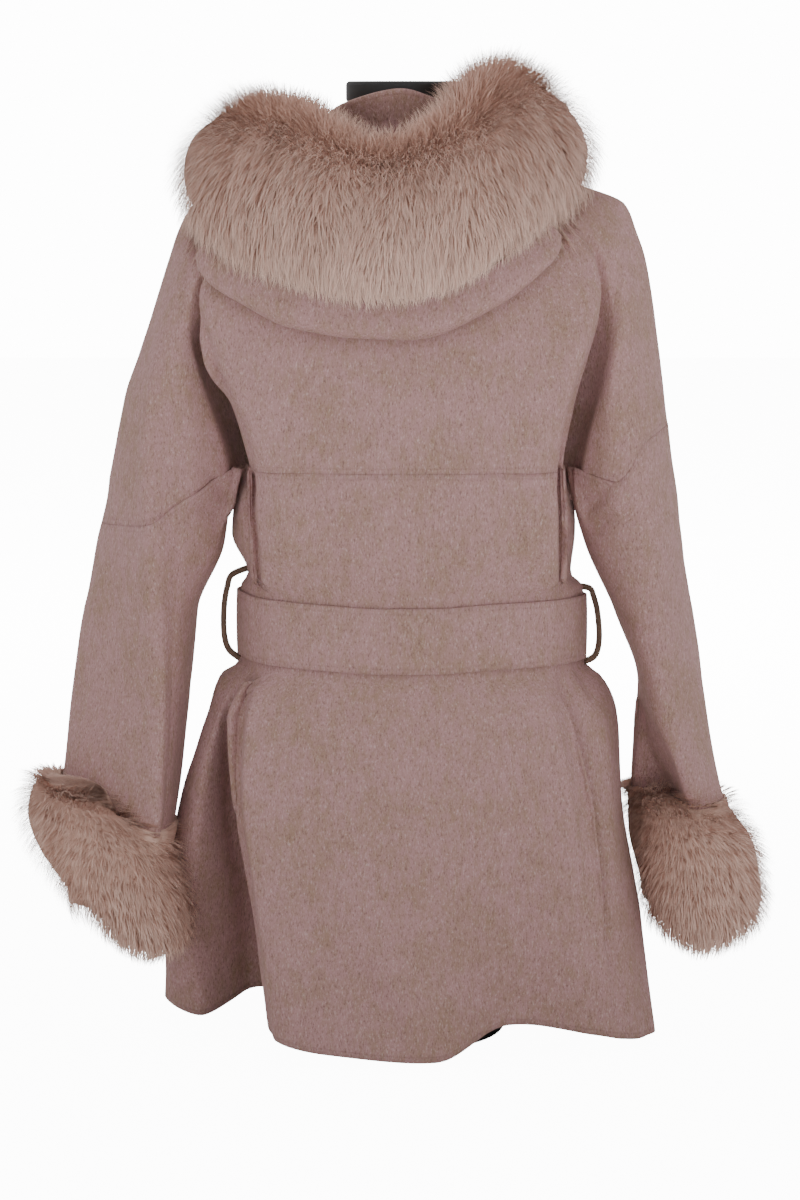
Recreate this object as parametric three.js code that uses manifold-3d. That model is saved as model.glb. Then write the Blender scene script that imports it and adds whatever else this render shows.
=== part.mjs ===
// Short wrap coat in double-faced wool with a fur-trimmed hood and cuffs, filled out on a
// black countertop dress form. Millimetres, +Z up, origin at the centre of the base's
// underside. The coat's back faces -Y, its front +Y, and +X is the wearer's right.

import * as THREE from 'three';
import { mergeVertices } from 'three/addons/utils/BufferGeometryUtils.js';
import Module from 'manifold-3d';

// Driving sizes
const WALL = 3;                 // double-faced wool
const SEAM_GAP = 0.3;           // between two pieces at a seam
const LAID_GAP = 0.5;           // between a piece and the panel that it lies on
const FUR_GAP = 0.8;            // between fur and the wool that it is sewn to
const SKIRT_GAP = 2;            // between a cuff and the skirt that it hangs against
const YOKE_SEAM = 577;          // height of the seam across the back
const NECKLINE = 885;           // height of the coat's neck edge
const FRONT_LAP = WALL + 1.6;   // how far the under front lies inside the outer one
const BELT = { thick: 3, half: 32.5, stand: 0.8 };
const LOOP = { thick: 6, wide: 9 };
const FORM = {
  base: 104, baseThick: 10, stem: 13, bottom: 300, neck: 55, capFrom: 930, top: 951, seat: 1.8,
};
const FORM_DEPTH_OFFSET = 5;    // the stem stands a little in front of the hem's middle

// Body of the coat from hem to yoke seam. One row for each height, and in it the place
// (x, y) of each fold line: left side, left lobe, left trough, left fold, back left, back
// centre, back right, right fold, right trough, right lobe, right side, front right, right
// lap, front centre, left lap, front left.
const BODY_SECTIONS = [
  { z: 12, at: [[-242, 24], [-204, -14], [-150, 12], [-122, -136], [-56, -161], [32, -169],
    [106, -118], [188, -112], [220, -98], [243, -72], [254, -34],
    [212, 98], [118, 150], [8, 136], [-104, 156], [-205, 112]] },
  { z: 120, at: [[-240, 14], [-212, -32], [-154, -14], [-139, -130], [-68, -148], [16, -151],
    [102, -128], [190, -112], [206, -96], [228, -64], [239, -10],
    [200, 92], [108, 138], [6, 130], [-96, 142], [-192, 100]] },
  { z: 230, at: [[-224, 5], [-204, -46], [-170, -34], [-156, -116], [-80, -133], [10, -136],
    [100, -128], [183, -110], [196, -90], [212, -56], [221, 0],
    [182, 86], [98, 126], [4, 124], [-88, 128], [-174, 90]] },
  { z: 328, at: [[-194, 0], [-184, -44], [-172, -56], [-163, -98], [-84, -117], [8, -122],
    [94, -118], [164, -102], [178, -82], [200, -50], [213, 0],
    [168, 76], [88, 112], [4, 117], [-78, 112], [-154, 76]] },
  { z: 364, at: [[-184, 0], [-169, -42], [-157, -62], [-145, -88], [-74, -107], [8, -112],
    [86, -108], [147, -92], [163, -72], [185, -44], [199, 0],
    [152, 68], [80, 102], [4, 108], [-72, 102], [-140, 68]] },
  { z: 379, at: [[-160, 0], [-153, -38], [-141, -62], [-120, -83], [-70, -100], [9, -106],
    [84, -101], [137, -84], [158, -64], [172, -38], [179, 0],
    [144, 64], [76, 96], [6, 103], [-66, 96], [-130, 64]] },
  { z: 454, at: [[-160, 0], [-153, -38], [-141, -62], [-120, -83], [-70, -100], [9, -106],
    [84, -101], [137, -84], [158, -64], [172, -38], [179, 0],
    [144, 64], [76, 96], [6, 103], [-66, 96], [-130, 64]] },
  { z: 468, at: [[-153, 0], [-150, -34], [-145, -58], [-136, -82], [-72, -104], [6, -109],
    [82, -105], [150, -88], [158, -62], [164, -34], [168, 0],
    [144, 66], [78, 102], [4, 109], [-70, 102], [-134, 66]] },
  { z: 508, at: [[-169, 0], [-164, -34], [-152, -60], [-137, -92], [-73, -110], [5, -114],
    [80, -111], [151, -98], [160, -66], [168, -34], [172, 0],
    [150, 72], [80, 112], [2, 120], [-76, 112], [-146, 72]] },
  { z: 577, at: [[-159, 0], [-157, -27], [-152, -56], [-141, -92], [-74, -112], [5, -116],
    [80, -113], [148, -98], [158, -62], [162, -32], [164, 0],
    [148, 74], [82, 116], [2, 127], [-78, 116], [-142, 74]] },
];
const HEM = [26, 14, 32, 22, 12, 9, 33, 21, 13, 8, 8, 12, 10, 14, 10, 16];
const BELT_HEIGHT = [419, 419, 418, 417, 415, 412.5, 416, 417, 416, 415, 414,
  415, 416, 417, 417, 418];

// Yoke and shoulders, from the seam to the neck edge, in the same way: left outer, ridge,
// middle, valley and fold, back left, centre and right, right fold, valley, middle, ridge and
// outer, then by the front right ridge, valley and panel, centre, left panel, valley, ridge.
// The outer lines run down the sleeves, and the valleys lie between sleeve and body.
const YOKE_SECTIONS = [
  { z: 500, at: [[-306, 12], [-251, -68], [-215, -62], [-184, -38], [-137, -92], [-74, -111],
    [5, -115], [80, -112], [151, -98], [190, -38], [222, -66], [254, -60], [282, 5],
    [242, 56], [196, 42], [82, 114], [2, 124], [-78, 114], [-190, 42], [-247, 58]] },
  { z: 540, at: [[-296, 10], [-251, -66], [-210, -62], [-164, -38], [-138, -92], [-74, -112],
    [5, -116], [80, -113], [150, -98], [172, -42], [212, -66], [248, -58], [276, 5],
    [236, 60], [178, 52], [84, 116], [2, 128], [-80, 116], [-174, 52], [-240, 62]] },
  { z: 577, at: [[-288, 8], [-252, -62], [-206, -62], [-159, -42], [-141, -92], [-74, -112],
    [5, -116], [80, -113], [148, -98], [166, -44], [206, -64], [242, -56], [269, 5],
    [230, 62], [170, 62], [86, 118], [2, 130], [-82, 118], [-164, 62], [-238, 66]] },
  { z: 638, at: [[-276, 6], [-248, -56], [-212, -66], [-177, -52], [-157, -97], [-80, -113],
    [5, -117], [84, -114], [157, -102], [180, -54], [204, -66], [235, -54], [261, 4],
    [222, 64], [176, 78], [92, 120], [2, 130], [-88, 120], [-172, 78], [-232, 66]] },
  { z: 684, at: [[-260, 5], [-240, -48], [-218, -66], [-194, -58], [-184, -86], [-92, -110],
    [4, -114], [92, -111], [170, -96], [191, -60], [210, -64], [234, -46], [255, 3],
    [218, 62], [182, 82], [98, 116], [2, 124], [-94, 116], [-180, 82], [-226, 62]] },
  { z: 730, at: [[-245, 4], [-231, -40], [-216, -58], [-204, -66], [-186, -80], [-98, -102],
    [4, -107], [96, -103], [180, -84], [201, -60], [216, -54], [232, -38], [248, 2],
    [214, 56], [184, 74], [100, 104], [2, 110], [-98, 104], [-180, 74], [-218, 56]] },
  { z: 779, at: [[-229, 2], [-216, -34], [-202, -50], [-188, -60], [-164, -70], [-92, -88],
    [2, -93], [92, -89], [164, -72], [192, -58], [208, -46], [222, -32], [239, 0],
    [202, 48], [172, 64], [94, 86], [2, 90], [-92, 86], [-166, 64], [-202, 48]] },
  { z: 806, at: [[-219, 0], [-207, -28], [-190, -44], [-168, -56], [-138, -66], [-78, -78],
    [0, -82], [78, -78], [140, -66], [174, -56], [197, -44], [215, -28], [229, 0],
    [186, 38], [152, 54], [84, 74], [0, 78], [-84, 74], [-150, 54], [-184, 38]] },
  { z: 832, at: [[-203, 0], [-190, -20], [-170, -36], [-142, -48], [-110, -58], [-62, -68],
    [0, -72], [62, -68], [112, -58], [148, -48], [180, -36], [203, -20], [217, 0],
    [164, 30], [126, 44], [70, 60], [0, 66], [-70, 60], [-124, 44], [-162, 30]] },
  { z: 856, at: [[-152, 0], [-142, -16], [-124, -30], [-102, -42], [-78, -52], [-44, -62],
    [0, -65], [44, -62], [78, -52], [102, -42], [125, -30], [144, -16], [154, 0],
    [118, 26], [88, 38], [50, 52], [0, 58], [-50, 52], [-88, 38], [-118, 26]] },
  { z: 872, at: [[-98, 0], [-93, -14], [-84, -27], [-72, -39], [-56, -49], [-31, -58],
    [0, -61], [31, -58], [56, -49], [72, -39], [84, -27], [93, -14], [98, 0],
    [82, 22], [62, 36], [36, 47], [0, 53], [-36, 47], [-62, 36], [-82, 22]] },
  { z: 886, at: [[-68, 0], [-66, -15], [-61, -29], [-52, -41], [-40, -50], [-22, -58],
    [0, -60], [22, -58], [40, -50], [52, -41], [61, -29], [66, -15], [68, 0],
    [61, 22], [47, 37], [26, 48], [0, 52], [-26, 48], [-47, 37], [-61, 22]] },
];
const SEAM_HEIGHTS = [516, 521, 548, 577, 577, 577, 577, 577, 577, 577, 564, 602, 616,
  601, 577, 577, 577, 577, 577, 540];

// Sleeves below the drop seam. Lines: outer, back ridge, back middle, inner back, inner,
// inner front, front ridge. The right sleeve's fold hangs over a trough at its inner side.
const SLEEVE_LEFT = [
  { z: 60, at: [[-331, -38], [-268, -90], [-256, -84], [-250, -66], [-246, -40], [-254, -12], [-296, 4]] },
  { z: 140, at: [[-331, -32], [-268, -86], [-254, -80], [-248, -61], [-244, -36], [-252, -6], [-296, 10]] },
  { z: 210, at: [[-345, -12], [-251, -84], [-238, -75], [-232, -54], [-229, -24], [-240, 10], [-292, 26]] },
  { z: 270, at: [[-341, 2], [-248, -78], [-231, -68], [-224, -44], [-220, -12], [-232, 22], [-283, 40]] },
  { z: 350, at: [[-332, 14], [-246, -69], [-225, -60], [-216, -36], [-211, 0], [-222, 36], [-273, 53]] },
  { z: 430, at: [[-320, 14], [-248, -69], [-221, -61], [-208, -37], [-204, 0], [-213, 38], [-262, 56]] },
  { z: 500, at: [[-306, 12], [-251, -68], [-215, -62], [-180, -37], [-175, 4], [-190, 42], [-247, 58]] },
  { z: 540, at: [[-296, 10], [-251, -66], [-210, -62], [-172, -38], [-174, 6], [-178, 52], [-240, 62]] },
  { z: 577, at: [[-288, 8], [-252, -62], [-206, -62], [-165, -42], [-169, 8], [-169, 62], [-238, 66]] },
  { z: 638, at: [[-276, 6], [-248, -56], [-212, -66], [-177, -52], [-170, 8], [-172, 78], [-232, 66]] },
];
const SLEEVE_RIGHT = [
  { z: 60, at: [[332, 0], [308, -42], [286, -48], [264, -34], [248, -2], [256, 28], [296, 40]] },
  { z: 140, at: [[332, 0], [308, -42], [286, -49], [263, -34], [247, -2], [255, 29], [296, 40]] },
  { z: 205, at: [[330, -2], [312, -46], [293, -54], [272, -10], [234, 0], [244, 34], [288, 43]] },
  { z: 257, at: [[319, 0], [300, -52], [279, -60], [260, -12], [233, 2], [242, 36], [282, 47]] },
  { z: 300, at: [[312, 0], [284, -59], [262, -62], [246, -20], [233, 2], [241, 36], [276, 48]] },
  { z: 350, at: [[305, 2], [269, -62], [248, -63], [239, -28], [236, 2], [243, 36], [270, 50]] },
  { z: 430, at: [[291, 4], [260, -62], [233, -65], [216, -38], [212, 2], [221, 38], [254, 52]] },
  { z: 500, at: [[282, 5], [254, -60], [222, -66], [186, -38], [180, 4], [194, 42], [242, 56]] },
  { z: 540, at: [[276, 5], [248, -58], [212, -66], [172, -42], [174, 6], [178, 52], [236, 60]] },
  { z: 577, at: [[269, 5], [242, -56], [206, -64], [166, -44], [168, 8], [170, 62], [230, 62]] },
  { z: 638, at: [[261, 4], [235, -54], [204, -66], [180, -54], [176, 8], [178, 78], [222, 64]] },
];
const SLEEVE_SEAM_LEFT = [516, 521, 548, 575, 575, 576, 540];
const SLEEVE_SEAM_RIGHT = [616, 602, 564, 575, 575, 576, 601];
const SLEEVE_END = 138;

// Fur collar on the hood's edge. One row for each station of the roll, from the left
// front round the back: middle of the roll, half its depth and half its height.
const FUR_ROLL = [
  { x: -58, y: 112, z: 762, deep: 16, high: 20 },
  { x: -84, y: 98, z: 800, deep: 36, high: 42 },
  { x: -120, y: 60, z: 850, deep: 54, high: 60 },
  { x: -147, y: 2, z: 874, deep: 72, high: 60 },
  { x: -142, y: -58, z: 854, deep: 78, high: 84 },
  { x: -92, y: -106, z: 840, deep: 66, high: 86 },
  { x: -22, y: -128, z: 820, deep: 60, high: 75 },
  { x: 44, y: -120, z: 840, deep: 64, high: 82 },
  { x: 92, y: -78, z: 878, deep: 72, high: 90 },
  { x: 124, y: -12, z: 878, deep: 72, high: 76 },
  { x: 114, y: 56, z: 856, deep: 54, high: 62 },
  { x: 84, y: 98, z: 802, deep: 36, high: 42 },
  { x: 56, y: 112, z: 762, deep: 16, high: 20 },
];

// Lower edge of the folded hood on the back: yoke line, in which it lies, and height
const HOOD_EDGE = [
  { line: 2.9, z: 780 }, { line: 3.7, z: 763 }, { line: 4.4, z: 742 }, { line: 4.9, z: 718 },
  { line: 5.5, z: 708 }, { line: 6.25, z: 709 }, { line: 6.9, z: 736 }, { line: 7.45, z: 770 },
  { line: 8.1, z: 802 },
];
// Hood's turn under its edge: rise above the edge and distance out from the yoke
const HOOD_TURN = [
  { rise: 30, out: 4.4 }, { rise: 10, out: 6.5 }, { rise: 3.5, out: 15 },
  { rise: 14, out: 24 }, { rise: 44, out: 30 },
];
const NECK_STAND = [
  { top: 893, flare: 4 }, { top: 908, flare: 14 }, { top: 922, flare: 24 }, { top: 936, flare: 15 },
  { top: 943, flare: 8 }, { top: 934, flare: 6 }, { top: 925, flare: 6 }, { top: 908, flare: 5 },
  { top: 893, flare: 4 },
];

// Fur cuffs. One row for each level: height at the middle, left, right, back and front
const CUFF_LEFT = {
  middle: -297, slope: -0.33,
  levels: [
    { z: 244, left: -364, right: -310, back: -78, front: 12 },
    { z: 236, left: -378, right: -252, back: -98, front: 32 },
    { z: 218, left: -384, right: -222, back: -112, front: 44 },
    { z: 198, left: -384, right: -209, back: -122, front: 48 },
    { z: 174, left: -372, right: -203, back: -128, front: 46 },
    { z: 150, left: -348, right: -202, back: -126, front: 38 },
    { z: 132, left: -320, right: -208, back: -116, front: 26 },
    { z: 122, left: -296, right: -226, back: -100, front: 6 },
  ],
};
const CUFF_RIGHT = {
  middle: 300, slope: -0.06,
  levels: [
    { z: 246, left: 224, right: 268, back: -30, front: 36 },
    { z: 232, left: 226, right: 334, back: -56, front: 56 },
    { z: 219, left: 228, right: 350, back: -76, front: 64 },
    { z: 198, left: 229, right: 365, back: -86, front: 72 },
    { z: 168, left: 230, right: 372, back: -88, front: 74 },
    { z: 138, left: 234, right: 374, back: -86, front: 72 },
    { z: 116, left: 244, right: 362, back: -76, front: 62 },
    { z: 103, left: 264, right: 340, back: -62, front: 46 },
  ],
};

// Dress form below the shoulders: height, half width, back and front
const FORM_SECTIONS = [
  { z: 300, half: 138, back: -88, front: 84 }, { z: 330, half: 144, back: -92, front: 88 },
  { z: 380, half: 134, back: -84, front: 84 }, { z: 430, half: 114, back: -74, front: 78 },
  { z: 500, half: 122, back: -80, front: 90 }, { z: 577, half: 136, back: -88, front: 106 },
  { z: 650, half: 146, back: -92, front: 108 }, { z: 720, half: 160, back: -88, front: 92 },
  { z: 780, half: 176, back: -76, front: 74 }, { z: 812, half: 182, back: -69, front: 58 },
  { z: 832, half: 174, back: -58, front: 42 },
];

// Materials
const finish = (name, color, roughness) =>
  new THREE.MeshStandardMaterial({ name, color, roughness, metalness: 0 });
const WOOL = finish('wool', 0xa3867d, 0.92);
const LOOP_WOOL = finish('loop wool', 0x5f4a40, 0.9);
const FUR = finish('fur', 0x9d8377, 1);
const FORM_SHELL = finish('form shell', 0x1e1d1d, 0.55);

const mix = (a, b, t) => a + (b - a) * t;
const steps = (from, to, count) =>
  Array.from({ length: count + 1 }, (_, i) => mix(from, to, i / count));
const easeIn = (t) => {
  const held = Math.min(1, Math.max(0, t));
  return held * held * (3 - 2 * held);
};

// Slope of a curve through (knots, values) at each knot, with no overshoot
function slopes(knots, values) {
  const step = knots.slice(1).map((k, i) => (values[i + 1] - values[i]) / (k - knots[i]));
  return knots.map((_, i) => {
    if (i === 0) return step[0];
    if (i === knots.length - 1) return step[i - 1];
    const before = step[i - 1];
    const after = step[i];
    return before * after <= 0 ? 0 : (2 * before * after) / (before + after);
  });
}

// Smooth curve through (knots, values)
function curve(knots, values) {
  const tangents = slopes(knots, values);
  return (k) => {
    let i = 0;
    while (i < knots.length - 2 && k > knots[i + 1]) i += 1;
    const span = knots[i + 1] - knots[i];
    const t = Math.min(1, Math.max(0, (k - knots[i]) / span));
    const a = values[i];
    const b = values[i + 1];
    return a + t * t * (3 - 2 * t) * (b - a)
      + span * t * (1 - t) * ((1 - t) * tangents[i] - t * tangents[i + 1]);
  };
}

// Smooth curve through equally spaced values, closed or open
function through(values, u, closed) {
  const n = values.length;
  const pick = (i) => values[closed ? ((i % n) + n) % n : Math.min(n - 1, Math.max(0, i))];
  const i = Math.floor(u);
  const t = u - i;
  const [a, b, c, d] = [pick(i - 1), pick(i), pick(i + 1), pick(i + 2)];
  return b + 0.5 * t * (c - a + t * (2 * a - 5 * b + 4 * c - d + t * (3 * (b - c) + d - a)));
}

// Smooth curve through one height for each line of a ring, with no overshoot
const ringHeights = (heights) => {
  const n = heights.length;
  const f = curve(steps(-2, n + 1, n + 3), steps(-2, n + 1, n + 3).map((i) => heights[(i + n) % n]));
  return (u) => f(((u % n) + n) % n);
};

// Direction out of a surface, from its slopes along the line number and the height
const normalOf = (at) => (u, z) => {
  const across = at(u + 0.05, z).sub(at(u - 0.05, z));
  const up = at(u, z + 1).sub(at(u, z - 1));
  return across.cross(up).normalize();
};

// Surface through a table of sections: line number and height give a point
function surface(sections) {
  const heights = sections.map((s) => s.z);
  const count = sections[0].at.length;
  const tracks = [0, 1].map((axis) => Array.from({ length: count }, (_, line) =>
    curve(heights, sections.map((s) => s.at[line][axis]))));
  const at = (u, z) => new THREE.Vector3(
    through(tracks[0].map((f) => f(z)), u, true),
    through(tracks[1].map((f) => f(z)), u, true), z);
  return { at, out: normalOf(at) };
}

const body = surface(BODY_SECTIONS);
const yoke = surface(YOKE_SECTIONS);

// A sleeve's surface, which runs into the yoke's towards the drop seam, but for the
// inner lines 3 to 5 that face the body
const BODY_LINES = BODY_SECTIONS[0].at.length;
const YOKE_LINES = YOKE_SECTIONS[0].at.length;
const SLEEVE_LINES = SLEEVE_LEFT[0].at.length;
function joined(sections, toYoke) {
  const own = surface(sections);
  const at = (line, z) => {
    const u = ((line % SLEEVE_LINES) + SLEEVE_LINES) % SLEEVE_LINES;
    const point = own.at(u, z);
    const share = easeIn((z - YOKE_SECTIONS[0].z) / 40);
    return u > 3 && u < 5 ? point : point.lerp(yoke.at(toYoke(u), z), share);
  };
  return { at, out: normalOf(at) };
}
const sleeves = {
  left: joined(SLEEVE_LEFT, (u) => (u <= 3 ? u : u + 13)),
  right: joined(SLEEVE_RIGHT, (u) => (u <= 3 ? 12 - u : 19 - u)),
};

// Closed body from an outer and an inner grid of points, both [column][row]
function slab(outer, inner, closed) {
  const columns = outer.length;
  const rows = outer[0].length;
  const points = [outer, inner].flat(2).flatMap((p) => [p.x, p.y, p.z]);
  const id = (side, i, j) => side * columns * rows + (i % columns) * rows + j;
  const faces = [];
  const quad = (a, b, c, d) => faces.push(a, b, c, a, c, d);
  const spans = closed ? columns : columns - 1;
  for (let i = 0; i < spans; i += 1) {
    for (let j = 0; j < rows - 1; j += 1) {
      quad(id(0, i, j), id(0, i + 1, j), id(0, i + 1, j + 1), id(0, i, j + 1));
      quad(id(1, i, j), id(1, i, j + 1), id(1, i + 1, j + 1), id(1, i + 1, j));
    }
    quad(id(0, i, 0), id(1, i, 0), id(1, i + 1, 0), id(0, i + 1, 0));
    quad(id(0, i, rows - 1), id(0, i + 1, rows - 1), id(1, i + 1, rows - 1), id(1, i, rows - 1));
  }
  if (!closed) {
    for (let j = 0; j < rows - 1; j += 1) {
      quad(id(0, 0, j), id(0, 0, j + 1), id(1, 0, j + 1), id(1, 0, j));
      quad(id(0, spans, j), id(1, spans, j), id(1, spans, j + 1), id(0, spans, j + 1));
    }
  }
  return fromArrays(points, faces);
}

function fromArrays(points, faces) {
  const geometry = new THREE.BufferGeometry();
  geometry.setAttribute('position', new THREE.Float32BufferAttribute(points, 3));
  geometry.setIndex(faces);
  geometry.computeVertexNormals();
  return geometry;
}

// Closed solid from a stack of rings, with a middle point closing each end
function stack(rings) {
  const sides = rings[0].length;
  const middle = (ring) => ring.reduce((sum, p) => sum.add(p), new THREE.Vector3())
    .divideScalar(sides);
  const all = [...rings.flat(), middle(rings[0]), middle(rings.at(-1))];
  const faces = [];
  const last = (rings.length - 1) * sides;
  for (let i = 0; i < sides; i += 1) {
    const next = (i + 1) % sides;
    for (let j = 0; j < rings.length - 1; j += 1) {
      const low = j * sides;
      const high = low + sides;
      faces.push(low + i, low + next, high + next, low + i, high + next, high + i);
    }
    faces.push(all.length - 2, next, i, all.length - 1, last + i, last + next);
  }
  return fromArrays(all.flatMap((p) => [p.x, p.y, p.z]), faces);
}

// A panel of one surface. lines are its columns, each a function of the height; low and
// high are the heights of its edges at a line; levels are its rows, which lean towards the
// two edges by share; rise moves the panel out of the surface.
function panel({ on, lines, low, high, levels, rise = () => 0 }) {
  const top = levels.length - 1;
  const outer = [];
  const inner = [];
  for (const line of lines) {
    const near = line(levels[0]);
    const column = levels.map((level, j) => {
      const lowShare = Math.max(0, 1 - j / LEAN);
      const highShare = Math.max(0, 1 - (top - j) / LEAN);
      const z = level + lowShare * (low(near) - levels[0]) + highShare * (high(near) - levels[top]);
      const u = line(z);
      const out = on.out(u, z);
      if (j === 0 || j === top) out.setZ(0).normalize();
      return { point: on.at(u, z), out, rise: rise(u, z) };
    });
    outer.push(column.map((c) => c.point.clone().addScaledVector(c.out, c.rise)));
    inner.push(column.map((c) => c.point.clone().addScaledVector(c.out, c.rise - WALL)));
  }
  return slab(outer, inner, false);
}
const LEAN = 4;
const fixed = (from, to, count) => steps(from, to, count).map((u) => () => u);

const group = new THREE.Group();
const add = (name, geometry, material) => {
  const mesh = new THREE.Mesh(geometry, material);
  mesh.name = name;
  group.add(mesh);
  return mesh;
};

const hem = ringHeights(HEM);
const bodyTop = () => YOKE_SEAM - SEAM_GAP / 2;
const SIDE = 0.011;             // half a seam's gap, in lines
const BODY_LEVELS = [12, 52, 94, 138, 184, 232, 280, 320, 346, 364, 379, 454, 468, 492, 528,
  YOKE_SEAM];
const FRONT_LEVELS = [12, 94, 184, 260, 320, 346, 364, 379, 454, 468, 520, YOKE_SEAM];

// Back and two fronts, from hem to yoke seam. The right front laps over the left one.
function bodyPanels() {
  const common = { on: body, low: hem, high: bodyTop };
  add('back', panel({ ...common, lines: fixed(SIDE, 10 - SIDE, 30), levels: BODY_LEVELS }), WOOL);
  add('front_right', panel({ ...common, lines: fixed(10 + SIDE, 14, 12),
    levels: FRONT_LEVELS }), WOOL);
  add('front_left', panel({ ...common, lines: fixed(12 + 1 / 3, 16 - SIDE, 11), levels: FRONT_LEVELS,
    rise: (u) => -FRONT_LAP * easeIn((15.4 - u) / 1.4) }), WOOL);
}

// Yoke: the back from the seam to the neck, and the fronts' upper parts with their V
const seamHeight = ringHeights(SEAM_HEIGHTS);
const seam = (u) => seamHeight(u) + SEAM_GAP / 2;
const neck = () => NECKLINE;
const YOKE_LEVELS = [YOKE_SEAM, 606, 640, 680, 720, 756, 784, 808, 832, 850, 866, NECKLINE];
const lapEdge = curve([540, 600, 760, 830, 886], [17.0, 16.9, 15.9, 15.0, 14.6]);
const toLap = (side) => [...fixed(12 + SIDE, 14, 6),
  ...steps(0, 1, 6).slice(1).map((t) => (z) => mix(14, lapEdge(z), t))]
  .map((line) => (z) => (side > 0 ? line(z) : 32 - line(z)));
function yokePanels() {
  const common = { on: yoke, low: seam, high: neck, levels: YOKE_LEVELS };
  add('back_yoke', panel({ ...common, lines: fixed(SIDE, 12 - SIDE, 36) }), WOOL);
  add('front_yoke_right', panel({ ...common, lines: toLap(1) }), WOOL);
  add('front_yoke_left', panel({ ...common, lines: toLap(-1).reverse(),
    rise: (u) => -FRONT_LAP * easeIn((18.6 - u) / 1.2) }), WOOL);
}

// Sleeves: tubes from the drop seam to the cuff
const SLEEVE_LEVELS = [SLEEVE_END, 180, 226, 272, 320, 375, 430, 485, 532, YOKE_SEAM];
function sleeveTube(name, on, seamHeights, turn) {
  const heights = ringHeights(seamHeights);
  const outer = [];
  const inner = [];
  for (let i = 0; i < 21; i += 1) {
    const u = i / 3;
    const top = heights(u) - SEAM_GAP / 2;
    const column = SLEEVE_LEVELS.map((level, j) => {
      const share = Math.max(0, 1 - (SLEEVE_LEVELS.length - 1 - j) / LEAN);
      const z = level + share * (top - YOKE_SEAM);
      return { at: on.at(u, z), out: on.out(u, z).setZ(0).normalize() };
    });
    outer.push(column.map((c) => c.at));
    inner.push(column.map((c) => c.at.clone().addScaledVector(c.out, -WALL * turn)));
  }
  add(name, turn > 0 ? slab(outer, inner, true)
    : slab(outer.reverse(), inner.reverse(), true), WOOL);
}

// Belt: a band on the waist, in the body's own lines
function belt() {
  const outer = [];
  const inner = [];
  for (let i = 0; i < 48; i += 1) {
    const u = i / 3;
    const z = through(BELT_HEIGHT, u, true);
    const heights = [z - BELT.half, z + BELT.half];
    const place = (rise) => heights.map((h) =>
      body.at(u, 421).addScaledVector(body.out(u, 421), rise).setZ(h));
    outer.push(place(BELT.stand + BELT.thick));
    inner.push(place(BELT.stand));
  }
  add('belt', slab(outer, inner, true), WOOL);
}

// Knot on the belt at the front, and the two ends that hang from it on the lapped front
const KNOT = { line: 13.35, half: [34, 17, 27] };
function knotAndEnds() {
  const beltFace = BELT.stand + BELT.thick + LAID_GAP;
  const seat = body.at(KNOT.line, 421).addScaledVector(body.out(KNOT.line, 421), beltFace);
  const rings = steps(-0.96, 0.96, 6).map((h) => {
    const round = Math.sqrt(1 - h * h);
    return Array.from({ length: 14 }, (_, i) => {
      const a = (i / 14) * 2 * Math.PI;
      return new THREE.Vector3(
        seat.x + KNOT.half[0] * Math.sign(Math.cos(a)) * Math.abs(Math.cos(a)) ** 0.7 * round ** 0.5,
        seat.y - 0.4 + KNOT.half[1] * (1 + Math.sin(a) * round ** 0.5),
        416 + KNOT.half[2] * h);
    });
  });
  add('belt_knot', stack(rings), WOOL);
  const ends = [
    { name: 'belt_end_left', line: 13.62, drift: 0.16, bottom: 150 },
    { name: 'belt_end_right', line: 13.1, drift: -0.16, bottom: 118 },
  ];
  for (const end of ends) {
    const outer = [];
    const inner = [];
    for (const s of steps(-1, 1, 4)) {
      const column = steps(0, 1, 9).map((t) => {
        const z = mix(end.bottom, 416 - KNOT.half[2] - 1.2, t);
        const spread = mix(0.34, 0.2, t ** 3);
        const u = end.line + end.drift * (1 - t) + s * spread;
        const away = mix(LAID_GAP + WALL + 0.4, beltFace + KNOT.half[1], t ** 6) + 3 * Math.sin(7 * t) ** 2;
        return { at: body.at(u, z), out: body.out(u, z).setZ(0).normalize(), away };
      });
      outer.push(column.map((c) => c.at.clone().addScaledVector(c.out, c.away)));
      inner.push(column.map((c) => c.at.clone().addScaledVector(c.out, c.away - BELT.thick)));
    }
    add(end.name, slab(outer, inner, false), WOOL);
  }
}

// Belt loops: narrow bands at the sides that the belt passes through. Each row is the
// distance out from the side line and the height.
const LOOP_ROUTES = {
  left: [[-1, 472], [6, 464], [11, 452], [14, 436], [15, 418], [14, 400], [9, 387], [0.7, 377]],
  right: [[-1.9, 452.5], [5, 450], [9, 442], [12.5, 429], [14.5, 413], [15, 400], [13.5, 388],
    [9, 380], [0.9, 375]],
};
function beltLoops() {
  for (const [name, side, sign] of [['left', 0, -1], ['right', 10, 1]]) {
    const route = LOOP_ROUTES[name].map(([away, z], i, all) => {
      const end = i === 0 || i === all.length - 1;
      const base = end ? body.at(side, z).x : body.at(side, 421).x;
      return new THREE.Vector3(base + sign * (away + LOOP.thick / 2 + LAID_GAP), 0, z);
    });
    const line = new THREE.CatmullRomCurve3(route);
    const rings = steps(0, 1, 16).map((t) => {
      const middle = line.getPoint(t);
      const along = line.getTangent(t);
      const out = new THREE.Vector3(along.z, 0, -along.x).multiplyScalar(LOOP.thick / 2);
      const wide = new THREE.Vector3(0, LOOP.wide / 2, 0);
      return [[1, 1], [-1, 1], [-1, -1], [1, -1]].map(([a, b]) =>
        middle.clone().addScaledVector(out, a).addScaledVector(wide, b));
    });
    add(`belt_loop_${name}`, stack(rings), LOOP_WOOL);
  }
}

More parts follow.
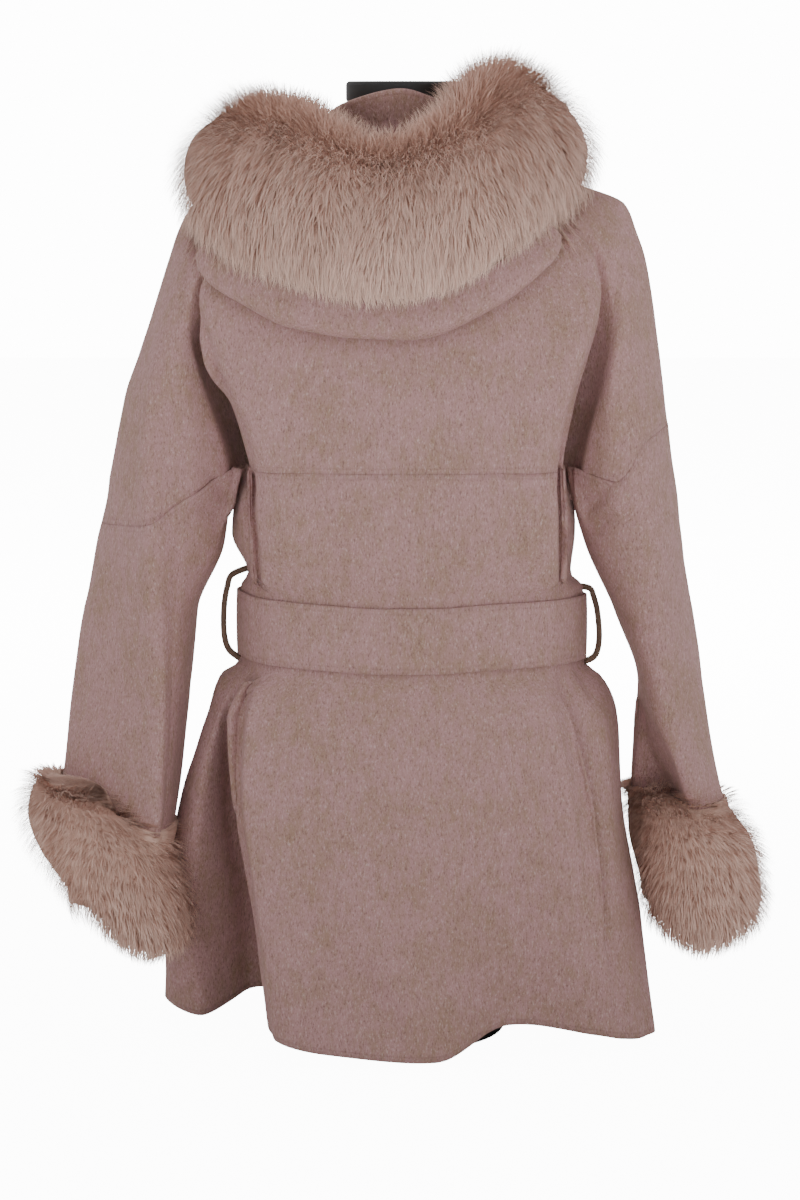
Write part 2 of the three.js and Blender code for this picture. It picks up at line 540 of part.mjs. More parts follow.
// Manifold solids, to clear the fur of the wool that it is sewn to
const wasm = await Module();
wasm.setup();
const toSolid = (geometry) => {
  const bare = geometry.clone();
  bare.deleteAttribute('normal');
  const merged = mergeVertices(bare, 1e-4);
  return new wasm.Manifold(new wasm.Mesh({
    numProp: 3,
    vertProperties: new Float32Array(merged.attributes.position.array),
    triVerts: new Uint32Array(merged.index.array),
  }));
};
const toGeometry = (solid) => {
  const mesh = solid.getMesh();
  return fromArrays(Array.from(mesh.vertProperties), Array.from(mesh.triVerts));
};

// Rings of a surface moved out, as one solid
const filled = (on, lines, sides, heights, rise, turn = 1) => {
  const rings = heights.map((z) => Array.from({ length: sides }, (_, i) => {
    const u = (turn > 0 ? i : sides - i) * (lines / sides);
    return on.at(u, z).addScaledVector(on.out(u, z).setZ(0).normalize(), rise * turn);
  }));
  return toSolid(stack(rings));
};

// Hood: a wall that lies on the yoke from the neck edge down, turns under at its lower
// edge and comes up outside, where the fur is sewn on
const hoodLine = (s) => through(HOOD_EDGE.map((e) => e.line), s, false);
const hoodEdge = (s) => through(HOOD_EDGE.map((e) => e.z), s, false);
const LAID = LAID_GAP + 0.7 + WALL;
const HOOD_TOP = 868;           // the hood's upper edge, hidden under the fur
function hoodGrids(grow) {
  const last = HOOD_EDGE.length - 1;
  const margin = grow / 25;
  const outer = [];
  const inner = [];
  for (const s of steps(0, last, 18)) {
    const beyond = (s === 0 ? -margin : 0) + (s === last ? margin : 0);
    const line = hoodLine(s) + beyond;
    const edge = hoodEdge(s);
    const low = 1 - 0.55 * Math.abs((2 * s) / last - 1) ** 3;
    const atNeck = mix(2.6, 9.2, s / last) + beyond;
    const laid = [0, 0.25, 0.5, 0.75].map((t) => {
      const z = mix(HOOD_TOP + grow, edge + HOOD_TURN[0].rise * low, t);
      return { u: mix(atNeck, line, t), z, out: LAID };
    });
    const turned = HOOD_TURN.map((h, i) =>
      ({ u: line, z: edge + h.rise * low + (i === HOOD_TURN.length - 1 ? grow : 0), out: h.out }));
    const path = [...laid, ...turned].map(({ u, z, out }) =>
      yoke.at(u, z).addScaledVector(yoke.out(u, Math.min(z, 850)), out).setZ(z));
    const across = yoke.at(line + 0.1, edge).sub(yoke.at(line - 0.1, edge));
    const side = path.map((_, j) => {
      const along = path[Math.min(j + 1, path.length - 1)].clone().sub(path[Math.max(j - 1, 0)]);
      return along.cross(across).normalize();
    });
    outer.push(path.map((p, j) => p.clone().addScaledVector(side[j], grow)));
    inner.push(path.map((p, j) => p.clone().addScaledVector(side[j], -WALL - grow)));
  }
  return slab(inner, outer, false);
}

// Stand of the neck: the wool that rises behind the neck inside the fur
function neckStand(grow) {
  const outer = [];
  const inner = [];
  const last = NECK_STAND.length - 1;
  for (const s of steps(0, last, 16)) {
    const foot = yoke.at(mix(0.6, 11.4, s / last), 886);
    const out = foot.clone().setZ(0).normalize();
    const top = through(NECK_STAND.map((r) => r.top), s, false) + grow;
    const flare = through(NECK_STAND.map((r) => r.flare), s, false);
    const column = steps(0, 1, 3).map((t) => foot.clone()
      .addScaledVector(out, flare * t * t).setZ(mix(NECKLINE + SEAM_GAP, top, t)));
    outer.push(column.map((p) => p.clone().addScaledVector(out, grow)));
    inner.push(column.map((p) => p.clone().addScaledVector(out, -WALL - grow)));
  }
  return slab(outer, inner, false);
}

// Fur collar: a lobed roll, cleared of the yoke, the hood and the neck
function furRoll(sides, stations) {
  const last = FUR_ROLL.length - 1;
  const read = (name, s) => through(FUR_ROLL.map((r) => r[name]), s, false);
  const rings = steps(0, last, stations).map((s) => {
    const middle = new THREE.Vector3(read('x', s), read('y', s), read('z', s));
    const low = Math.max(0, s - 0.1);
    const high = Math.min(last, s + 0.1);
    const along = new THREE.Vector3(read('x', high) - read('x', low), read('y', high) - read('y', low), 0);
    const out = new THREE.Vector3(along.y, -along.x, 0).normalize();
    return Array.from({ length: sides }, (_, i) => {
      const a = (-i / sides) * 2 * Math.PI;
      return middle.clone().addScaledVector(out, read('deep', s) * Math.cos(a))
        .setZ(middle.z + read('high', s) * Math.sin(a));
    });
  });
  return toSolid(stack(rings));
}

const largest = (solid) => solid.decompose().sort((a, b) => b.volume() - a.volume())[0];
const YOKE_SIDES = 60;
const yokeFilled = (rise) => filled(yoke, YOKE_LINES, YOKE_SIDES, YOKE_LEVELS.slice(3), rise);
function hoodAndFur() {
  const hood = toSolid(hoodGrids(0)).subtract(yokeFilled(LAID_GAP));
  add('hood', toGeometry(largest(hood)), WOOL);
  add('neck_stand', neckStand(0), WOOL);
  const column = stack([872, 990].map((z) => Array.from({ length: 30 }, (_, i) => {
    const foot = yoke.at(i * (YOKE_LINES / 30), 886);
    return foot.addScaledVector(foot.clone().setZ(0).normalize(), 3 + FUR_GAP).setZ(z);
  })));
  const roll = furRoll(18, 30).subtract(yokeFilled(FUR_GAP))
    .subtract(toSolid(hoodGrids(FUR_GAP))).subtract(toSolid(column))
    .subtract(toSolid(neckStand(FUR_GAP)));
  add('fur_collar', toGeometry(largest(roll)), FUR);
}

// Fur cuffs: thick rings round the sleeve ends, open below
function cuff(name, table, on, turn) {
  const rings = table.levels.toReversed().map((level) => Array.from({ length: 22 }, (_, i) => {
    const a = (i / 22) * 2 * Math.PI;
    const x = mix(level.left, level.right, (1 + Math.cos(a)) / 2);
    const y = mix(level.back, level.front, (1 + Math.sin(a)) / 2);
    return new THREE.Vector3(x, y, level.z + table.slope * (x - table.middle));
  }));
  const hole = filled(on, SLEEVE_LINES, 21, [60, ...SLEEVE_LEVELS.slice(0, 7)], FUR_GAP, turn);
  const skirt = filled(body, BODY_LINES, 64, BODY_LEVELS.slice(0, 9), SKIRT_GAP);
  add(name, toGeometry(largest(toSolid(stack(rings)).subtract(hole).subtract(skirt))), FUR);
}

const FORM_SIDES = 30;
const FORM_STEP = YOKE_LINES / FORM_SIDES;
// Dress form: shell up to the neck, cap, stem and base
function dressForm() {
  const track = ['half', 'back', 'front'].map((name) =>
    curve(FORM_SECTIONS.map((s) => s.z), FORM_SECTIONS.map((s) => s[name])));
  const low = FORM_SECTIONS.map((s) => s.z).map((z) => Array.from({ length: FORM_SIDES }, (_, i) => {
    const u = i * FORM_STEP;
    const a = Math.PI * (u < 12 ? 1 + u / 12 : 2 + (u - 12) / 8);
    const depth = Math.sin(a) < 0 ? -track[1](z) : track[2](z);
    return new THREE.Vector3(track[0](z) * Math.cos(a), depth * Math.sin(a), z);
  }));
  const underYoke = (u, z) => {
    const out = yoke.out(u, z);
    const level = Math.hypot(out.x, out.y);
    const lap = FRONT_LAP * easeIn((19.2 - u) / 1.2) * easeIn((u - 13) / 1.5);
    return yoke.at(u, z).addScaledVector(out.setZ(0).normalize(), -(WALL + FORM.seat + lap) / level);
  };
  const high = YOKE_LEVELS.slice(-3).map((z) => Array.from({ length: FORM_SIDES }, (_, i) =>
    underYoke(i * FORM_STEP, z)));
  const throat = [893, FORM.capFrom].map((z) => Array.from({ length: FORM_SIDES }, (_, i) => {
    const foot = yoke.at(i * FORM_STEP, 886).setZ(0).normalize();
    return foot.multiplyScalar(FORM.neck).setZ(z);
  }));
  add('form_torso', stack([...low, ...high, ...throat]), FORM_SHELL);
  const cap = [[0, FORM.capFrom + SEAM_GAP], [FORM.neck, FORM.capFrom + SEAM_GAP],
    [FORM.neck, FORM.top - 4], [FORM.neck - 4, FORM.top], [0, FORM.top]];
  add('form_neck_cap', turned(cap, 28), FORM_SHELL);
  const stem = [[0, FORM.baseThick + SEAM_GAP], [FORM.stem, FORM.baseThick + SEAM_GAP],
    [FORM.stem, FORM.bottom - SEAM_GAP], [0, FORM.bottom - SEAM_GAP]];
  add('form_stem', turned(stem, 16), FORM_SHELL);
  const base = [[0, 0], [FORM.base - 2, 0], [FORM.base, 2], [FORM.base, FORM.baseThick - 3],
    [FORM.base - 4, FORM.baseThick], [0, FORM.baseThick]];
  const plate = add('form_base', turned(base, 36), FORM_SHELL);
  for (const mesh of [plate, group.getObjectByName('form_stem')]) mesh.position.y = FORM_DEPTH_OFFSET;
}

// Lathe round the upright axis, from the bottom of the profile to its top
function turned(profile, sides) {
  const geometry = new THREE.LatheGeometry(profile.map(([r, z]) => new THREE.Vector2(r, z)), sides);
  return geometry.rotateX(Math.PI / 2);
}

bodyPanels();
yokePanels();
sleeveTube('sleeve_left', sleeves.left, SLEEVE_SEAM_LEFT, 1);
sleeveTube('sleeve_right', sleeves.right, SLEEVE_SEAM_RIGHT, -1);
belt();
knotAndEnds();
beltLoops();
hoodAndFur();
cuff('fur_cuff_left', CUFF_LEFT, sleeves.left, 1);
cuff('fur_cuff_right', CUFF_RIGHT, sleeves.right, -1);
dressForm();

export default group;
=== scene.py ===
"""Wool wrap coat with a fur-trimmed hood and cuffs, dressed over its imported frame.

Millimetres inside the functions, metres in the meshes. +X is the wearer's right, the back
of the coat faces -Y, and +Z is up. Cloth is worked out from tables of sections: one row
for each height, and in it the place of each fold line round the body.
"""
import math

import bpy
import numpy as np
from bpy.props import FloatProperty, FloatVectorProperty, PointerProperty
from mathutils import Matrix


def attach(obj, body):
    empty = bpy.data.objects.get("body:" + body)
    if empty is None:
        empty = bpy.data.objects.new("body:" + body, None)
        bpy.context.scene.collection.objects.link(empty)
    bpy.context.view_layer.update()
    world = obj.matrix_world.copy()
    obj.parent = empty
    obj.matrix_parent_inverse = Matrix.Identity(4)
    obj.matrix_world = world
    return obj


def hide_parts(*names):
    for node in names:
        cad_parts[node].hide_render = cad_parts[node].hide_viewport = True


bl_info = {
    "name": "Wool coat with fur hood",
    "version": (1, 0, 0),
    "blender": (4, 5, 0),
    "location": "View3D > Sidebar > Coat",
    "description": "Cloth, belt, hood, fur and dress form of a wrap coat",
    "category": "Object",
}

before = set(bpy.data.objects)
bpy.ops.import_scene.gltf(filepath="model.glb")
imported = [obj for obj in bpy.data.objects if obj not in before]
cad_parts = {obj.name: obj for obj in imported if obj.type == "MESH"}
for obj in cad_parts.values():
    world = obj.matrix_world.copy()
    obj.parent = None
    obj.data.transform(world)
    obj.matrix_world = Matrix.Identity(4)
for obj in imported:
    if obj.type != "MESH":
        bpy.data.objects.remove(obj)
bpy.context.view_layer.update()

# Sizes as in the frame
WALL = 3.0                 # double-faced wool
SEAM_GAP = 0.3             # between a piece and the next
LAID_GAP = 0.5             # between a piece and what it lies on
YOKE_SEAM = 577.0          # height of the seam across the back
NECKLINE, NECK_ROW = 885.0, 886.0  # cloth's upper edge, and the highest row of its table
ARMHOLES = (3.0, 9.0)      # yoke's lines at the two armholes
SIDE_LINE, WAIST_ROUND = 10, 16    # line of the right side seam, and lines round the body
SHOULDER = 12              # yoke's line on the right shoulder
FRONT_LAP = WALL + 1.6     # how far the left front stands out over the right
BELT_THICK, BELT_HALF, BELT_STAND, BELT_MIDDLE = 3.0, 32.5, 0.8, 421.0
KNOT_HEIGHT = 416.0
LOOP_THICK, LOOP_WIDE = 6.0, 9.0
FORM_NECK, FORM_CAP_FROM, FORM_TOP, FORM_SEAT = 55.0, 930.0, 951.0, 1.8

# Sizes of the dressing. A length in lines is a share of the way from one line to the next.
RIM = 0.5                  # roundness of a cut edge
SEAM_SINK = 0.25           # a sewn edge's distance from its seam, so that the rims meet
SEAM_HALF = 0.003          # half the gap at an upright seam, in lines
LAP_STEP = 3.0             # width of a folded edge's drop
LOOP_SUNK = 6.0            # a loop's end under the cloth's face
GUSSET = (34.0, 0.24)      # yoke's dip into the armhole, and half its width in lines
STITCH, STITCH_STEP = 5.0, 3.25    # sewn line's distance from an edge, and half a stitch with its gap
EDGE_FAR, NO_EDGE = 400.0, 500.0   # longest distance from a sewn edge, and that of no edge
NAP_LIE = 0.38             # width of the wool's flecks, as a share of their length
HAIR_PARTS, HAIR_WIDE, HAIR_DROOP = 3, 0.9, 0.25    # parts of a hair, its width, its sinking
LOCK_PULL = 0.4            # how far a hair's tip drifts to its lock
FUR_SINK, CUFF_SINK = 15.0, 12.0   # depth of the hairs' roots under the fur's outline
FUR_GAP = 1.5              # between the hairs and the wool
FUR_FLOOR = 700            # height from which the wool under the collar is measured
MOST_PUSH = 60             # longest way that a hair is moved out of the wool
CAP_HAIRS, CAP_LENGTH, CUFF_LENGTH = 3000, 13.0, 25.0   # a cuff's upper face, its sides
CUFF_MIDDLE = 205.0        # height from which a cuff's hair bursts
UNDERCOAT = (0.5, 0.55, 0)         # undercoat's tone, and its share along a hair
CUFF_RING, ROLL_RINGS, ROLL_RING = 96, 150, 72    # points round the undercoats
# Axis across the picture of a side, axis towards its viewer, and the viewer's sign on that
SIDES = {"back": (0, 1, -1), "front": (0, 1, 1), "left": (1, 0, -1), "right": (1, 0, 1)}


def sections(text):
    """Sections of a surface from a text table. Two lines a section: its height and the x of
    every fold line, then their y."""
    lines = [[float(v) for v in line.split()] for line in text.strip().splitlines()]
    return {across[0]: list(zip(across[1:], deep)) for across, deep in zip(lines[::2], lines[1::2])}


def stations(text):
    """Rows of a text table whose first line names the columns."""
    names, *rows = [line.split() for line in text.strip().splitlines()]
    return [dict(zip(names, map(float, row))) for row in rows]


def crease_rows(text):
    """Rows of a text table of folds: side, half width, height, path, low side."""
    made = []
    for row in text.strip().splitlines():
        if row.startswith("#"):
            continue
        side, *numbers = row.split()
        half, high, low, *path = map(float, numbers)
        made.append((side, half, high, list(zip(path[::2], path[1::2])), low))
    return made


# Body from hem to yoke seam, 16 lines round from the left side by the back
BODY_SECTIONS = sections("""
12 -242 -204 -150 -122 -56 32 106 188 220 243 254 212 118 8 -104 -205
24 -14 12 -136 -161 -169 -118 -112 -98 -72 -34 98 150 136 156 112
120 -240 -212 -154 -139 -68 16 102 190 206 228 239 200 108 6 -96 -192
14 -32 -14 -130 -148 -151 -128 -112 -96 -64 -10 92 138 130 142 100
230 -224 -204 -170 -156 -80 10 100 183 196 212 221 182 98 4 -88 -174
5 -46 -34 -116 -133 -136 -128 -110 -90 -56 0 86 126 124 128 90
328 -194 -184 -172 -163 -84 8 94 164 178 200 213 168 88 4 -78 -154
0 -44 -56 -98 -117 -122 -118 -102 -82 -50 0 76 112 117 112 76
364 -184 -169 -157 -145 -74 8 86 147 163 185 199 152 80 4 -72 -140
0 -42 -62 -88 -107 -112 -108 -92 -72 -44 0 68 102 108 102 68
379 -160 -153 -141 -120 -70 9 84 137 158 172 179 144 76 6 -66 -130
0 -38 -62 -83 -100 -106 -101 -84 -64 -38 0 64 96 103 96 64
454 -160 -153 -141 -120 -70 9 84 137 158 172 179 144 76 6 -66 -130
0 -38 -62 -83 -100 -106 -101 -84 -64 -38 0 64 96 103 96 64
468 -153 -150 -145 -136 -72 6 82 150 158 164 168 144 78 4 -70 -134
0 -34 -58 -82 -104 -109 -105 -88 -62 -34 0 66 102 109 102 66
508 -169 -164 -152 -137 -73 5 80 151 160 168 172 150 80 2 -76 -146
0 -34 -60 -92 -110 -114 -111 -98 -66 -34 0 72 112 120 112 72
577 -159 -157 -152 -141 -74 5 80 148 158 162 164 148 82 2 -78 -142
0 -27 -56 -92 -112 -116 -113 -98 -62 -32 0 74 116 127 116 74
""")
HEM = [26, 14, 32, 22, 12, 9, 33, 21, 13, 8, 8, 12, 10, 14, 10, 16]
BELT_HEIGHT = [419, 419, 418, 417, 415, 412.5, 416, 417, 416, 415, 414, 415, 416, 417, 417, 418]
# Yoke and shoulders from the seam to the neck, 20 lines
YOKE_SECTIONS = sections("""
500 -306 -251 -215 -184 -137 -74 5 80 151 190 222 254 282 242 196 82 2 -78 -190 -247
12 -68 -62 -38 -92 -111 -115 -112 -98 -38 -66 -60 5 56 42 114 124 114 42 58
540 -296 -251 -210 -164 -138 -74 5 80 150 172 212 248 276 236 178 84 2 -80 -174 -240
10 -66 -62 -38 -92 -112 -116 -113 -98 -42 -66 -58 5 60 52 116 128 116 52 62
577 -288 -252 -206 -159 -141 -74 5 80 148 166 206 242 269 230 170 86 2 -82 -164 -238
8 -62 -62 -42 -92 -112 -116 -113 -98 -44 -64 -56 5 62 62 118 130 118 62 66
638 -276 -248 -212 -177 -157 -80 5 84 157 180 204 235 261 222 176 92 2 -88 -172 -232
6 -56 -66 -52 -97 -113 -117 -114 -102 -54 -66 -54 4 64 78 120 130 120 78 66
684 -260 -240 -218 -194 -184 -92 4 92 170 191 210 234 255 218 182 98 2 -94 -180 -226
5 -48 -66 -58 -86 -110 -114 -111 -96 -60 -64 -46 3 62 82 116 124 116 82 62
730 -245 -231 -216 -204 -186 -98 4 96 180 201 216 232 248 214 184 100 2 -98 -180 -218
4 -40 -58 -66 -80 -102 -107 -103 -84 -60 -54 -38 2 56 74 104 110 104 74 56
779 -229 -216 -202 -188 -164 -92 2 92 164 192 208 222 239 202 172 94 2 -92 -166 -202
2 -34 -50 -60 -70 -88 -93 -89 -72 -58 -46 -32 0 48 64 86 90 86 64 48
806 -219 -207 -190 -168 -138 -78 0 78 140 174 197 215 229 186 152 84 0 -84 -150 -184
0 -28 -44 -56 -66 -78 -82 -78 -66 -56 -44 -28 0 38 54 74 78 74 54 38
832 -203 -190 -170 -142 -110 -62 0 62 112 148 180 203 217 164 126 70 0 -70 -124 -162
0 -20 -36 -48 -58 -68 -72 -68 -58 -48 -36 -20 0 30 44 60 66 60 44 30
856 -152 -142 -124 -102 -78 -44 0 44 78 102 125 144 154 118 88 50 0 -50 -88 -118
0 -16 -30 -42 -52 -62 -65 -62 -52 -42 -30 -16 0 26 38 52 58 52 38 26
872 -98 -93 -84 -72 -56 -31 0 31 56 72 84 93 98 82 62 36 0 -36 -62 -82
0 -14 -27 -39 -49 -58 -61 -58 -49 -39 -27 -14 0 22 36 47 53 47 36 22
886 -68 -66 -61 -52 -40 -22 0 22 40 52 61 66 68 61 47 26 0 -26 -47 -61
0 -15 -29 -41 -50 -58 -60 -58 -50 -41 -29 -15 0 22 37 48 52 48 37 22
""")
SEAM_HEIGHTS = [
    516, 521, 548, 577, 577, 577, 577, 577, 577, 577,
    564, 602, 616, 601, 577, 577, 577, 577, 577, 540]
# Sleeves: outer, back ridge, back middle, inner back, inner, inner front, front ridge
SLEEVE_LEFT = sections("""
60 -331 -268 -256 -250 -246 -254 -296
-38 -90 -84 -66 -40 -12 4
140 -331 -268 -254 -248 -244 -252 -296
-32 -86 -80 -61 -36 -6 10
210 -345 -251 -238 -232 -229 -240 -292
-12 -84 -75 -54 -24 10 26
270 -341 -248 -231 -224 -220 -232 -283
2 -78 -68 -44 -12 22 40
350 -332 -246 -225 -216 -211 -222 -273
14 -69 -60 -36 0 36 53
430 -320 -248 -221 -208 -204 -213 -262
14 -69 -61 -37 0 38 56
500 -306 -251 -215 -180 -175 -190 -247
12 -68 -62 -37 4 42 58
540 -296 -251 -210 -172 -174 -178 -240
10 -66 -62 -38 6 52 62
577 -288 -252 -206 -165 -169 -169 -238
8 -62 -62 -42 8 62 66
638 -276 -248 -212 -177 -170 -172 -232
6 -56 -66 -52 8 78 66
""")
SLEEVE_RIGHT = sections("""
60 332 308 286 264 248 256 296
0 -42 -48 -34 -2 28 40
140 332 308 286 263 247 255 296
0 -42 -49 -34 -2 29 40
205 330 312 293 272 234 244 288
-2 -46 -54 -10 0 34 43
257 319 300 279 260 233 242 282
0 -52 -60 -12 2 36 47
300 312 284 262 246 233 241 276
0 -59 -62 -20 2 36 48
350 305 269 248 239 236 243 270
2 -62 -63 -28 2 36 50
430 291 260 233 216 212 221 254
4 -62 -65 -38 2 38 52
500 282 254 222 186 180 194 242
5 -60 -66 -38 4 42 56
540 276 248 212 172 174 178 236
5 -58 -66 -42 6 52 60
577 269 242 206 166 168 170 230
5 -56 -64 -44 8 62 62
638 261 235 204 180 176 178 222
4 -54 -66 -54 8 78 64
""")
SLEEVE_SEAM_LEFT = [516, 521, 548, 575, 575, 576, 540]
SLEEVE_SEAM_RIGHT = [616, 602, 564, 575, 575, 576, 601]
SLEEVE_END = 138.0
# Fur collar: middle of the roll, half its depth and half its height
FUR_ROLL = stations("""
x y z deep high
-58 112 762 16 20
-84 98 800 36 42
-120 60 850 54 60
-147 2 874 72 60
-142 -58 854 78 84
-92 -106 840 66 86
-22 -128 820 60 75
44 -120 840 64 82
92 -78 878 72 90
124 -12 878 72 76
114 56 856 54 62
84 98 802 36 42
56 112 762 16 20
""")
# Folded hood: lower edge on the yoke, and the turn under it
HOOD_EDGE = stations("""
line z
2.9 780
3.7 763
4.4 742
4.9 718
5.5 708
6.25 709
6.9 736
7.45 770
8.1 802
""")
HOOD_TURN = stations("""
rise out
30 4.4
10 6.5
3.5 15
14 24
44 30
""")
HOOD_TOP = 868.0
# Stand round the neck: its upper edge, and how far that leans out
NECK_STAND = stations("""
top flare
893 4
908 14
922 24
936 15
943 8
934 6
925 6
908 5
893 4
""")
# Cuffs from the top down, and the lean of their levels about a middle
CUFF_LEFT = {"middle": -297, "slope": -0.33, "levels": stations("""
z left right back front
244 -364 -310 -78 12
236 -378 -252 -98 32
218 -384 -222 -112 44
198 -384 -209 -122 48
174 -372 -203 -128 46
150 -348 -202 -126 38
132 -320 -208 -116 26
122 -296 -226 -100 6
""")}
CUFF_RIGHT = {"middle": 300, "slope": -0.06, "levels": stations("""
z left right back front
246 224 268 -30 36
232 226 334 -56 56
219 228 350 -76 64
198 229 365 -86 72
168 230 372 -88 74
138 234 374 -86 72
116 244 362 -76 62
103 264 340 -62 46
""")}
# Dress form: height, half width, back and front
FORM_SECTIONS = stations("""
z half back front
300 138 -88 84
330 144 -92 88
380 134 -84 84
430 114 -74 78
500 122 -80 90
577 136 -88 106
650 146 -92 108
720 160 -88 92
780 176 -76 74
812 182 -69 58
832 174 -58 42
""")
FORM_STEM, FORM_BOTTOM = 13.0, 300.0
FORM_BASE, FORM_BASE_THICK, FORM_DEPTH_OFFSET = 104.0, 10.0, 5.0
# Belt loops: distance out from the side line, and height
LOOP_ROUTES = {
    "left": [(-1, 472), (6, 464), (11, 452), (14, 436), (15, 418), (14, 400), (9, 387), (0.7, 377)],
    "right": [(-1.9, 452.5), (5, 450), (9, 442), (12.5, 429), (14.5, 413),
              (15, 400), (13.5, 388), (9, 380), (0.9, 375)],
}
KNOT_LINE, KNOT_HALF = 13.35, (34, 17, 27)
# Belt ends: name, line at the knot, drift along the lines, height of the tip
BELT_ENDS = [("belt_end_left", 13.62, 0.16, 150.0), ("belt_end_right", 13.1, -0.16, 118.0)]

# Folds laid on the wool, listed one by one. Each row: the side from which it is seen,
# half its width, its height (a trough is negative), its low side if it is a folded edge,
# and its path as pairs of across and up. Across is x from the back or front, y from a side.
CREASES = crease_rows("""
# left armhole trough
back 9 -11 0 -206 755 -194 706 -178 657 -162 613 -153 578 -148 544
# folded edge beside it
back 9 -34 -1 -184 672 -165 625 -150 578 -142 532 -138 488 -136 409
back 14 3 0 -164 674 -144 635 -130 596 -118 559 -115 510 -114 466
# right armhole trough
back 9 -11 0 206 764 195 711 184 664 171 618 163 579 159 544
# folded edge beside it
back 9 -26 1 180 691 163 645 154 596 152 537 152 488 153 409
back 14 3 0 161 684 145 645 133 599 131 540 132 467
# left sleeve ridge
back 6 2.6 0 -231 751 -242 673 -251 595 -250 507 -248 398 -247 288 -248 202
# hollow beside the ridge
back 15 -3 0 -219 712 -230 595 -229 487 -226 368 -227 248
# strip outside the ridge
back 16 -3 0 -266 621 -282 522 -295 422 -301 301
# armpit creases, left
back 6 -3.5 0 -168 518 -182 530 -197 534 -216 528
back 6 2.4 0 -169 526 -185 542 -202 549 -221 545
back 6 -2.6 0 -167 527 -175 549 -186 567 -197 579
back 8 -2.2 0 -173 507 -189 497 -203 479 -215 445
# armpit creases, right
back 6 -3.2 0 179 508 196 523 218 530 243 531
back 6 2.4 0 180 516 198 538 219 549 241 553
back 6 -2.8 0 175 516 188 540 201 561 215 577
# elbow
back 7 -2.4 0 202 446 215 428 234 418 256 418
back 9 -2.2 0 207 401 227 378 250 356
# folded edge of the right sleeve
back 20 -24 -1 224 363 244 332 262 298 277 258 289 217 298 162
# gathers under the belt
back 8 -3 0 -99 383 -115 361 -129 320
back 10 -2.6 0 -54 380 -49 342 -47 292
back 9 -1.8 0 17 378 21 347 25 312
back 9 -2.2 0 95 383 103 350 115 311
# left folded edge
back 22 -32 -1 -136 413 -148 364 -155 315 -157 255 -147 181 -135 89 -121 -8
# left lobe
back 11 4 0 -186 344 -203 273 -214 202 -216 131 -213 53
# right valley
back 14 -10 0 147 391 163 343 175 300 183 248 189 181 200 90
# crease beside it
back 5 -5 0 168 387 180 367 190 343
# ridge between
back 9 4 0 173 375 195 325 206 267 209 196 219 114
# fold edge left of it
back 9 3.5 0 139 378 150 325 162 265 171 195
# diagonal fold at the hem
back 13 -6 0 -58 123 -39 88 -19 56 -2 22
back 15 4 0 -17 118 4 73 25 26
back 20 3.5 0 64 186 58 107 49 17
# rise of the hem
back 22 -5 0 123 182 131 102 129 37
# soft folds over the waist
back 12 -3 0 -92 575 -77 532 -64 494 -56 455
back 12 -2 0 29 552 37 504 39 455
back 12 -2.2 0 99 565 106 513 108 458
back 18 -2.5 0 -102 690 -88 639 -81 588
back 18 -2 0 113 715 102 658 94 600
# front skirts
front 16 -6 0 -62 340 -80 210 -96 60
front 16 -5 0 88 335 108 190 118 50
front 14 4 0 30 330 36 190 38 50
front 12 -2.5 0 -40 565 -52 520 -58 465
front 12 -2.5 0 66 565 74 520 78 465
# from the shoulders
front 14 -3 0 -150 720 -138 660 -120 600
front 14 -3 0 152 720 138 660 124 600
# sleeve fronts
front 9 -3 0 -205 540 -236 500 -262 480
front 9 -3 0 205 540 232 500 256 484
front 12 -2.6 0 -262 440 -268 350 -276 260
front 12 -2.6 0 262 430 272 340 284 250
# outer sleeves
left 14 -3 0 12 560 0 500 14 430
left 12 -2.5 0 -20 400 0 340 -6 260
right 14 -3 0 14 560 -2 500 12 430
right 12 -2.5 0 -18 400 4 340 -2 260
# skirt sides
left 14 -7 0 50 340 62 200 76 40
right 14 -6 0 46 340 60 200 70 40
""")
HOOD_CREASES = crease_rows("""
back 6 -2.6 0 -186 779 -155 755 -117 736 -69 726
back 6 -2.2 0 17 723 55 739 93 761 125 792
back 8 1.8 0 -135 740 -88 721 -31 715 27 718
""")
# Deep troughs along a line: line number, half its width in lines, heights, depths
YOKE_TRENCHES = [
    (3.0, 0.17, [500, 535, 577, 620, 680, 760, 830], [4, 12, 34, 40, 26, 9, 0]),
    (9.0, 0.17, [500, 535, 577, 620, 680, 760, 830], [4, 10, 28, 36, 26, 9, 0]),
]
BODY_TRENCHES = [
    (2.2, 0.3, [12, 120, 250, 340, 375], [24, 28, 26, 10, 0]),
    (7.8, 0.25, [12, 120, 250, 340, 375], [0, 3, 8, 8, 0]),
]


def ease(t):
    """0 to 1 with a soft start and end: 3 t squared less 2 t cubed."""
    t = np.clip(t, 0.0, 1.0)
    return t * t * (3 - 2 * t)


def curve(knots, values, at):
    """Cubic pieces through (knots, values) whose slope at a knot is the harmonic mean of the
    slopes beside it, or 0 where they differ in sign, so the curve never overshoots."""
    knots, values = np.asarray(knots, float), np.asarray(values, float)
    wide = (-1,) + (1,) * (values.ndim - 1)
    step = np.diff(values, axis=0) / np.diff(knots).reshape(wide)
    a, b = step[:-1], step[1:]
    same = a * b > 0
    middle = np.where(same, 2 * a * b / np.where(same, a + b, 1), 0)
    slope = np.concatenate([step[:1], middle, step[-1:]])
    at = np.asarray(at, float)
    i = np.clip(np.searchsorted(knots[1:], at), 0, len(knots) - 2)
    span = knots[i + 1] - knots[i]
    t = np.clip((at - knots[i]) / span, 0, 1)
    more = at.shape + (1,) * (values.ndim - 1)
    t, span = t.reshape(more), span.reshape(more)
    return (values[i] + t * t * (3 - 2 * t) * (values[i + 1] - values[i])
            + span * t * (1 - t) * ((1 - t) * slope[i] - t * slope[i + 1]))


